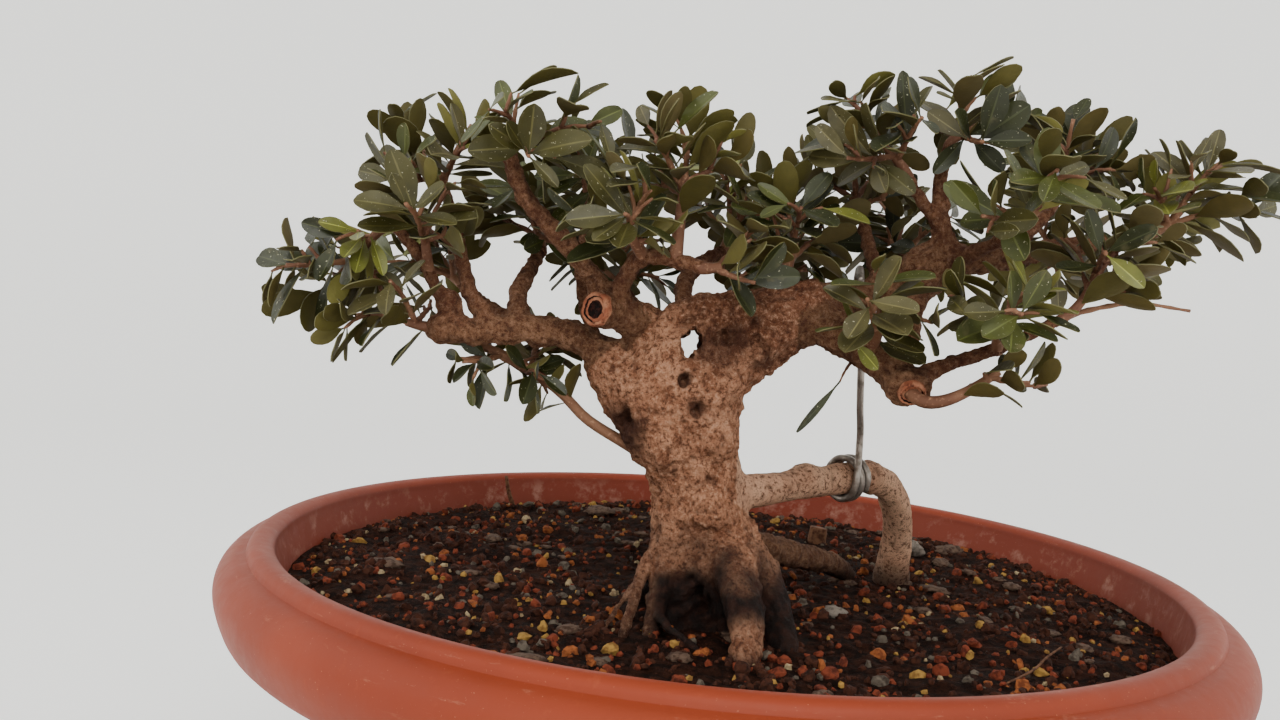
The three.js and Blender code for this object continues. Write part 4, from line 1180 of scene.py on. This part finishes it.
def add_lone_leaf(crown):
    base, tip = np.array(LONE_TWIG[-1], float), np.array(LONE_LEAF_TIP, float)
    ahead = unit(tip - base)
    side = unit(np.cross([0.0, -1.0, 0.2], ahead))
    crown.leaves.append({"base": base, "ahead": ahead, "side": side, "face": np.cross(ahead, side),
                         "length": lengths(tip - base), "width": LONE_LEAF_WIDTH, "bend": 0.1,
                         "fold": 0.2, "wave": 0.05, "spray": 0})
    crown.twigs.append((spline(LONE_TWIG, 6), 0.5))
    crown.twigs.append((spline(BARE_STICK, 14), 0.85))


# How far a stem reaches back into its limb, and a twig's taper and swellings as shares of its radius
STEM_SEAT = 1.5
TWIG_TAPER = (1.25, 0.6)
TWIG_SWELL = 0.14


def build_twigs(crown, material):
    tubes = Tubes()
    for mass in crown.masses:
        line, radii = mass.stem, mass.stem_radii
        back = unit(line[0] - line[1])
        tubes.add(np.vstack([line[0] + back * STEM_SEAT, line]), [radii[0], *radii], 8)
    for line, radius in crown.twigs:
        swell = 1 + TWIG_SWELL * np.cos(np.arange(len(line)) * math.pi)
        tubes.add(line, spread(np.multiply(TWIG_TAPER, radius), len(line)) * swell)
    return finish_piece(tubes.build("twigs", [material]), list(MASSES))


# Leaves: stations along the blade, and points round it, the upper side from right to left and the lower one
# back. A point is (share of the half width, drop below the upper face), with a groove at the midrib.
LEAF_STATIONS = np.array([-0.09, 0.02, 0.1, 0.24, 0.4, 0.56, 0.72, 0.86, 0.95, 1.0])
LEAF_ROUND = [(1, 0), (0.55, 0), (0.07, 0.1), (-0.07, 0.1), (-0.55, 0), (-1, 0),
              (-1, 0.3), (0, 0.3), (1, 0.3)]
LEAF_RIPPLES = 7
LEAF_CREASE = 50
NARROW = 0.28

# The material of each face round the leaf: upper 0, midrib 1, lower 2, edge 3
LEAF_SLOTS = [0, 0, 1, 0, 0, 3, 2, 2, 3]
EDGE_SLOT = 3

# Shades of leaf: upper face, lower face, roughness, and the share of the sprays that have it
LEAF_SHADES = {
    "deep": ((40, 43, 14), (80, 72, 29), 0.42, 0.34),
    "olive": ((64, 60, 24), (90, 78, 36), 0.46, 0.28),
    "mid": ((66, 70, 26), (96, 88, 38), 0.44, 0.2),
    "grey": ((80, 74, 42), (96, 84, 48), 0.5, 0.11),
    "young": ((110, 112, 44), (126, 120, 58), 0.44, 0.07),
}


def leaf_faces():
    """Faces of one leaf and their slots. Those of the upper side start one corner on, as they are folded"""
    around, steps = len(LEAF_ROUND), len(LEAF_STATIONS) - 1
    slots = LEAF_SLOTS * steps
    faces = ring_faces(steps + 1, around)
    faces = [face[1:] + face[:1] if slot < 2 else face for face, slot in zip(faces, slots)]
    ends = [tuple(range(around - 1, -1, -1)), tuple(range(steps * around, (steps + 1) * around))]
    return faces + ends, slots + [EDGE_SLOT] * 2


def leaf_verts(leaf):
    across, drop = np.array(LEAF_ROUND).T
    half = np.maximum(0.5 * leaf["width"] * blade_half(LEAF_STATIONS), NARROW)[:, None]
    grow = np.clip(LEAF_STATIONS, 0, 1)[:, None]
    out = (PETIOLE + LEAF_STATIONS * leaf["length"])[:, None] + 0 * across
    lift = half * np.abs(across) * leaf["fold"] + leaf["wave"] * half * np.sin(LEAF_RIPPLES * grow) * across
    lift = lift - leaf["bend"] * leaf["length"] * grow ** 2 - drop
    return (leaf["base"] + np.outer(out, leaf["ahead"]) + np.outer(half * across, leaf["side"])
            + np.outer(lift, leaf["face"]))


def shade_of(spray):
    """Each spray's shade, dealt by its own number"""
    share = ((spray * 7919) % 1000) / 1000
    for name, (_, _, _, part) in LEAF_SHADES.items():
        if share < part:
            return name
        share -= part
    return "deep"


def build_leaves(crown):
    faces, slots = leaf_faces()
    size = len(LEAF_STATIONS) * len(LEAF_ROUND)
    for name, (top, under, gloss, _) in LEAF_SHADES.items():
        verts = [leaf_verts(leaf) for leaf in crown.leaves if shade_of(leaf["spray"]) == name]
        all_faces = [tuple(i + k * size for i in face) for k in range(len(verts)) for face in faces]
        paints = leaf_paints(name, top, under, gloss)
        made = make_object(f"leaves_{name}", np.vstack(verts) + TREE, all_faces, paints, slots * len(verts),
                           crease=LEAF_CREASE)
        finish_piece(made, list(MASSES))


# Guy wire

WIRE_RADIUS = 1.25
WIRE_TURNS = 2
WIRE_TURN_POINTS = 7
WIRE_START = 0.86
WIRE_PITCH = 0.1
WIRE_START_ANGLE = -0.6
WIRE_CLEAR = 0.6
WIRE_STEPS = 260
WIRE_SIDES = 14
WIRE_END = 0.8
WIRE_RISE = [
    [55, 24, 60], [53, 19, 72], [51, 14, 88], [49, 12, 102], [47, 11, 112], [46, 4, 117.5], [45, -4, 113],
]


def wire_route(count):
    """Two turns round the low arch, and the rise to the high bough with its hook"""
    radii, arch = LIMBS["low_arch_run"]
    arch = spline(arch, 200)
    reach = radii[-1] + WIRE_RADIUS + WIRE_CLEAR
    total = WIRE_TURNS * WIRE_TURN_POINTS
    points = []
    for i in range(total + 1):
        share = WIRE_START - WIRE_PITCH * i / total
        side, over = sides_of(unit(at_share(arch, share + 0.005) - at_share(arch, share - 0.005)))
        angle = 2 * math.pi * i / WIRE_TURN_POINTS + WIRE_START_ANGLE
        points.append(at_share(arch, share) + reach * (math.cos(angle) * side - math.sin(angle) * over))
    return spline([*points, *WIRE_RISE], count)


def build_wire(material):
    radii = np.full(WIRE_STEPS + 1, WIRE_RADIUS)
    radii[[0, -1]] *= WIRE_END
    tubes = Tubes()
    tubes.add(wire_route(WIRE_STEPS), radii, WIRE_SIDES)
    return finish_piece(tubes.build("tie_wire", [material]), ["guy_wire"])


# Pot

POT_SIDES = 192
POT_CREASE = 50
DRILL_SIDES = 32
INSIDE_FROM = 140.0
LIME_LEVEL = SOIL_TOP + 4
LIME_WIDTH = 5.0

# Corners of the pot's outline, as (radius, height) from the point that each list is named after
FOOT_CORNERS = [(-3, 0), (-0.8, 0.8), (0, 3)]
RIM_BAND = [(-9.5, -RIM_DEPTH), (-4.5, 1.6 - RIM_DEPTH), (-2, 6 - RIM_DEPTH), (-0.05, -14), (-1.5, -8.4),
            (-5.5, -4.4), (-8.6, -3.6)]
RIM_BEAD = [(-9.4, -3.4), (-10.4, -1.2), (-12.6, 0)]
LIP_BEAD = [(2.2, -0.5), (0.4, -2), (0, -4)]
INNER_FOOT = [(0, 3), (-0.8, 0.8), (-3, 0)]


def pot_profile():
    """(radius, height) up the outside, over the rim, and down the inside"""
    under = POT_HEIGHT - RIM_DEPTH
    rim, lip = [RIM_RADIUS, POT_HEIGHT], [LIP_RADIUS, POT_HEIGHT]
    return np.vstack([
        [[0.01, 0]],
        spline(np.add(FOOT_CORNERS, [BASE_RADIUS, 0]), 5),
        np.linspace([BASE_RADIUS, 3], [BODY_RADIUS, under - 3], 12)[1:],
        [[BODY_RADIUS + 3.2, under - 0.8], [BODY_RADIUS + 5, under]],
        spline(np.add(RIM_BAND, rim), 26),
        spline([*np.add(RIM_BEAD, rim), *np.add(LIP_BEAD, lip)], 12),
        np.linspace([LIP_RADIUS - 0.4, POT_HEIGHT - 5.5], [BODY_RADIUS - WALL + 6, under - 3], 8),
        np.add(INNER_FOOT, [BASE_RADIUS - WALL, FLOOR]),
        [[0.01, FLOOR]],
    ])


def drill_drains(made):
    drills = []
    for i in range(DRAIN_HOLES):
        turn = 2 * math.pi * i / DRAIN_HOLES
        bpy.ops.mesh.primitive_cylinder_add(
            vertices=DRILL_SIDES, radius=DRAIN_RADIUS * MM, depth=4 * FLOOR * MM,
            location=(DRAIN_RING * MM * math.cos(turn), DRAIN_RING * MM * math.sin(turn), 0))
        drills.append(bpy.context.object)
        cut = made.modifiers.new("drain", "BOOLEAN")
        cut.operation = "DIFFERENCE"
        cut.solver = "EXACT"
        cut.object = drills[-1]
    bpy.context.view_layer.update()
    drilled = bpy.data.meshes.new_from_object(made.evaluated_get(bpy.context.evaluated_depsgraph_get()))
    made.modifiers.clear()
    made.data = drilled
    for drill in drills:
        bpy.data.objects.remove(drill, do_unlink=True)


def build_pot(material):
    verts, faces = lathe(pot_profile(), POT_SIDES)
    made = make_object("bowl", verts, faces, [material])
    weld(made)
    drill_drains(made)
    x, y, z = np.array([v.co for v in made.data.vertices]).T / MM
    out = np.hypot(x, y)
    wall = BASE_RADIUS + (BODY_RADIUS - BASE_RADIUS) * z / (POT_HEIGHT - RIM_DEPTH)
    # The pot's inside, which its paint darkens as painted shade and marks with lime
    inside = (out < LIP_RADIUS + 0.3) & (out < wall + 12) & (z > INSIDE_FROM)
    mark_points(made, inside=inside, lime=np.exp(-((z - LIME_LEVEL) / LIME_WIDTH) ** 2))
    made.data.polygons.foreach_set("use_smooth", np.ones(len(made.data.polygons), bool))
    made.data.set_sharp_from_angle(angle=math.radians(POT_CREASE))
    return finish_piece(made, ["pot"])


# Filling

SOIL_RINGS = 110
SOIL_SIDES = 300
SOIL_EDGE = 158.7
SOIL_EDGE_FALL = 1.5
SOIL_EDGE_WIDTH = 18.0
HEAP_HEIGHT = 3.5
HEAP_SPACING = 36.0
HEAP_SKEW = 0.35
LUMP_HEIGHT = 1.1
BROAD_LUMP = 14.0
FINE_LUMP = 4.5

# The filling's side and floor, as (radius, height)
SOIL_SIDE = [(SOIL_EDGE, SOIL_TOP - 6), (153.2, 134.0), (99.2, 8.3), (96.2, SOIL_FLOOR), (0.01, SOIL_FLOOR)]

# Where the filling stays level: [x, y, radius that stays level, radius where the heaps are whole]
LEVEL_SPOTS = [[-7, -63, 58, 92], [67, 17, 30, 60]]


def heap_at(x, y):
    """Height of the filling's heaps, which leave it level at the feet of the tree"""
    ridge = math.sin(math.pi * (x + HEAP_SKEW * y) / HEAP_SPACING)
    furrow = math.sin(math.pi * (y - HEAP_SKEW * x) / HEAP_SPACING)
    height = 0.5 * HEAP_HEIGHT * (1 + ridge * furrow)
    for spot_x, spot_y, level, whole in LEVEL_SPOTS:
        height *= smoothstep(math.hypot(x - spot_x, y - spot_y), level, whole)
    return height


def soil_level(x, y):
    """Height of the filling's lumpy top"""
    edge = smoothstep(math.hypot(x, y), SOIL_EDGE - SOIL_EDGE_WIDTH, SOIL_EDGE)
    broad = noise.fractal(Vector((x, y, 3)) / BROAD_LUMP, 0.8, 2.1, 3)
    lumps = LUMP_HEIGHT * (broad + noise.noise(Vector((x, y, 9)) / FINE_LUMP))
    return SOIL_TOP - SOIL_EDGE_FALL * edge + (1 - edge) * heap_at(x, y) + (1 - 0.6 * edge) * lumps - 0.4


def build_soil(material):
    rings = [(radius, 0) for radius in np.linspace(0.01, SOIL_EDGE, SOIL_RINGS)]
    verts, faces = lathe([*rings, *SOIL_SIDE], SOIL_SIDES)
    top = SOIL_RINGS * SOIL_SIDES
    verts[:top, 2] = [soil_level(x, y) for x, y, _ in verts[:top]]
    made = make_object("filling", verts, faces, [material])
    weld(made)
    return finish_piece(made, ["soil"])


# Shades of grit: two tones, and the share of the stones that have them
GRIT_SHADES = {
    "brick": ((108, 50, 32), (66, 29, 19), 0.19),
    "orange": ((134, 76, 40), (90, 46, 26), 0.07),
    "ochre": ((146, 112, 56), (104, 74, 38), 0.045),
    "cream": ((152, 134, 102), (108, 88, 64), 0.015),
    "grey": ((88, 79, 68), (56, 47, 40), 0.06),
    "brown": ((60, 33, 22), (32, 17, 11), 0.62),
}
GRIT_SEED = 41

# Grades of grit: [count, least radius, most radius, fineness of the mesh]
GRIT_GRADES = [[4200, 0.6, 1.7, 1], [1000, 1.5, 3.0, 2]]

# The trunk's foot, which the grit keeps clear of: half width and half depth, and its middle right of TREE
FOOT_HALF = (19, 17)
FOOT_SHIFT = 4

# How rough a stone is, its least and most length, width and thickness, and how far it stands out
STONE_ROUGH = (0.72, 1.12)
STONE_STRETCH = ([0.8, 0.65, 0.5], [1.25, 1.0, 0.85])
STONE_LIFT = 0.1

# The share of the filling's area that stones lie on, from its middle out
EDGE_KEEP = 0.985


def stones(draws, places, sizes, detail):
    """Points and faces of many small angular stones"""
    ball = bmesh.new()
    bmesh.ops.create_icosphere(ball, subdivisions=detail, radius=1)
    base = np.array([v.co for v in ball.verts])
    shape = np.array([[v.index for v in f.verts] for f in ball.faces])
    ball.free()
    count = len(places)
    rough = draws.uniform(*STONE_ROUGH, (count, len(base), 1))
    turns = np.array([Quaternion(spin).normalized().to_matrix() for spin in draws.normal(size=(count, 4))])
    stretch = draws.uniform(*STONE_STRETCH, (count, 3))
    local = base[None] * rough * (stretch * sizes[:, None])[:, None]
    verts = np.einsum("nij,nkj->nki", turns, local) + places[:, None]
    faces = shape[None] + (np.arange(count) * len(base))[:, None, None]
    return verts.reshape(-1, 3), faces.reshape(-1, 3)


def scatter(draws, count, sizes):
    """Places on the filling, clear of the trunk"""
    places = []
    while len(places) < count:
        angle, out = draws.uniform(0, 2 * math.pi), SOIL_EDGE * math.sqrt(draws.uniform(0, EDGE_KEEP))
        x, y = out * math.cos(angle), out * math.sin(angle)
        if math.hypot((x - TREE[0] - FOOT_SHIFT) / FOOT_HALF[0], (y - TREE[1]) / FOOT_HALF[1]) > 1:
            places.append((x, y, soil_level(x, y) + STONE_LIFT * sizes[len(places)]))
    return np.array(places)


def build_grit(paints):
    draws = np.random.default_rng(GRIT_SEED)
    verts, faces, slots = [], [], []
    total = 0
    for slot, (_, _, share) in enumerate(GRIT_SHADES.values()):
        for grade, low, high, detail in GRIT_GRADES:
            count = round(grade * share)
            sizes = draws.uniform(low, high, count)
            points, triangles = stones(draws, scatter(draws, count, sizes), sizes, detail)
            verts.append(points)
            faces.append(triangles + total)
            slots += [slot] * len(triangles)
            total += len(points)
    made = make_object("grit", np.vstack(verts), np.vstack(faces), paints, slots, smooth=False)
    return finish_piece(made)


# Litter on the filling, as (x, y, size, flatness): pebbles, then flakes and chips of bark
PEBBLES = [(37, -45, 4.8, 0.85), (93, 68, 7.5, 0.7)]
FLAKES = [(-50, 100, 9), (102, 50, 6), (112, 74, 7), (99, 100, 5), (85, 2, 5.5), (78, 52, 6), (-20, 118, 5),
          (20, 70, 5), (118, 10, 5), (-120, -30, 6), (-90, 20, 5), (-60, -120, 6)]
FLAKE_FLATNESS = 0.3
CHIP_COUNT = 80
CHIP_SIZES = (2.2, 4.6)
CHIP_FLATNESS = 0.35
LITTER_LIFT = 0.25

# Two tones of each kind of litter
LITTER_TONES = {
    "pebble": ((118, 108, 98), (82, 74, 66)),
    "flake": ((88, 70, 58), (54, 38, 30)),
    "peg": ((104, 72, 52), (66, 42, 30)),
}

# A stick, a peg and a fibre: radii, points with their height over the filling, and sides
RODS = [
    ([1.2, 1.1, 0.8], [(-93, 114, -2), (-96, 113, 6), (-98, 112, 15)], 8),
    ([4.4, 4.2, 3.9], [(51, 73, -3), (51.5, 73, 3), (52, 73, 8)], 14),
    ([0.3, 0.4, 0.4, 0.3], [(72, -110, 0.6), (84, -98, 2.4), (94, -84, 1.6), (103, -73, 0.8)], 6),
]


def build_litter(paints):
    draws = np.random.default_rng(GRIT_SEED + 1)
    chips = draws.uniform(*CHIP_SIZES, CHIP_COUNT)
    spots = [*PEBBLES, *((x, y, size, FLAKE_FLATNESS) for x, y, size in FLAKES)]
    chip_places = scatter(draws, CHIP_COUNT, chips)
    spots += [(x, y, size, CHIP_FLATNESS) for (x, y, _), size in zip(chip_places, chips)]
    sizes = np.array([size for _, _, size, _ in spots])
    places = np.array([(x, y, soil_level(x, y) + LITTER_LIFT * size * flat) for x, y, size, flat in spots])
    verts, faces = stones(draws, places, sizes, 3)
    flat = np.repeat([flatness for _, _, _, flatness in spots], len(verts) // len(spots))
    middle = np.repeat(places[:, 2], len(verts) // len(spots))
    verts[:, 2] = middle + (verts[:, 2] - middle) * flat
    slots = np.repeat([0] * len(PEBBLES) + [1] * (len(spots) - len(PEBBLES)), len(faces) // len(spots))
    finish_piece(make_object("pebble_and_flakes", verts, faces, paints[:2], slots))
    rods = Tubes()
    for radii, points, sides in RODS:
        rods.add(spline([(x, y, soil_level(x, y) + z) for x, y, z in points], 14), spread(radii, 15), sides)
    finish_piece(rods.build("stick_peg_and_fibre", paints[2:], shift=0))


# Stage, light and camera

STAGE_PROFILE = [(0.001, 0), (1500, 0), (2000, 60), (2350, 320), (2480, 800), (2500, 3200)]
STAGE_DROP = 0.4
WALL_COLOUR = (236, 236, 234)
WALL_GLOW = 0.43
SKY_COLOUR = (241, 240, 237)
SKY_STRENGTH = 0.9
CAMERA_PLACE = (-0.03569, -0.38492, 0.24189)
CAMERA_PITCH = 0.0258
CAMERA_ROLL = 0.0731
CAMERA_LENS = 28.125
CAMERA_SENSOR = 36

# Soft lamps: place, size and power, each turned to the tree
LAMPS = {"key": ((0.25, -1.5, 1.35), 1.1, 22), "fill": ((-1.4, -0.4, 1.2), 1.4, 9)}
LAMP_TARGET = (0, 0, 0.2)


def build_stage():
    paint = Paint("plain_wall", roughness=0.9, specular=0.1)
    paint.base = WALL_COLOUR
    paint.put(paint.shader["Emission Color"], WALL_COLOUR)
    paint.put(paint.shader["Emission Strength"], WALL_GLOW)
    verts, faces = lathe(spline(STAGE_PROFILE, 60), 96)
    made = make_object("floor_and_wall", verts - [0, 0, STAGE_DROP], faces, [paint.done()])


def build_light():
    world = bpy.data.worlds.new("studio")
    world.use_nodes = True
    sky = world.node_tree.nodes["Background"].inputs
    sky[0].default_value = colour(SKY_COLOUR)
    sky[1].default_value = SKY_STRENGTH
    bpy.context.scene.world = world
    for name, (place, size, power) in LAMPS.items():
        lamp = bpy.data.lights.new(name, "AREA")
        lamp.shape = "DISK"
        lamp.size = size
        lamp.energy = power
        made = bpy.data.objects.new(name, lamp)
        made.location = place
        made.rotation_mode = "QUATERNION"
        made.rotation_quaternion = (Vector(LAMP_TARGET) - Vector(place)).to_track_quat("-Z", "Y")
        bpy.context.scene.collection.objects.link(made)


def build_camera():
    turn = Matrix.Rotation(math.pi / 2 - CAMERA_PITCH, 4, "X") @ Matrix.Rotation(CAMERA_ROLL, 4, "Z")
    data = bpy.data.cameras.new("camera")
    data.lens = CAMERA_LENS
    data.sensor_width = CAMERA_SENSOR
    data.clip_start = 0.02
    made = bpy.data.objects.new("camera", data)
    made.matrix_world = Matrix.Translation(CAMERA_PLACE) @ turn
    bpy.context.scene.collection.objects.link(made)
    bpy.context.scene.camera = made


build_stage()
build_light()
build_camera()
build_pot(pot_paint())
build_soil(soil_paint())
build_grit([grit_paint(name, main, second) for name, (main, second, _) in GRIT_SHADES.items()])
build_litter([grit_paint(name, *tones) for name, tones in LITTER_TONES.items()])
build_bark(bark_paint())
build_cut_faces(sawn_paints())
build_wire(wire_paint())
crown = Crown()
for mass in crown.masses:
    crown.grow_mass(mass)
add_lone_leaf(crown)
build_twigs(crown, twig_paint())
build_leaves(crown)
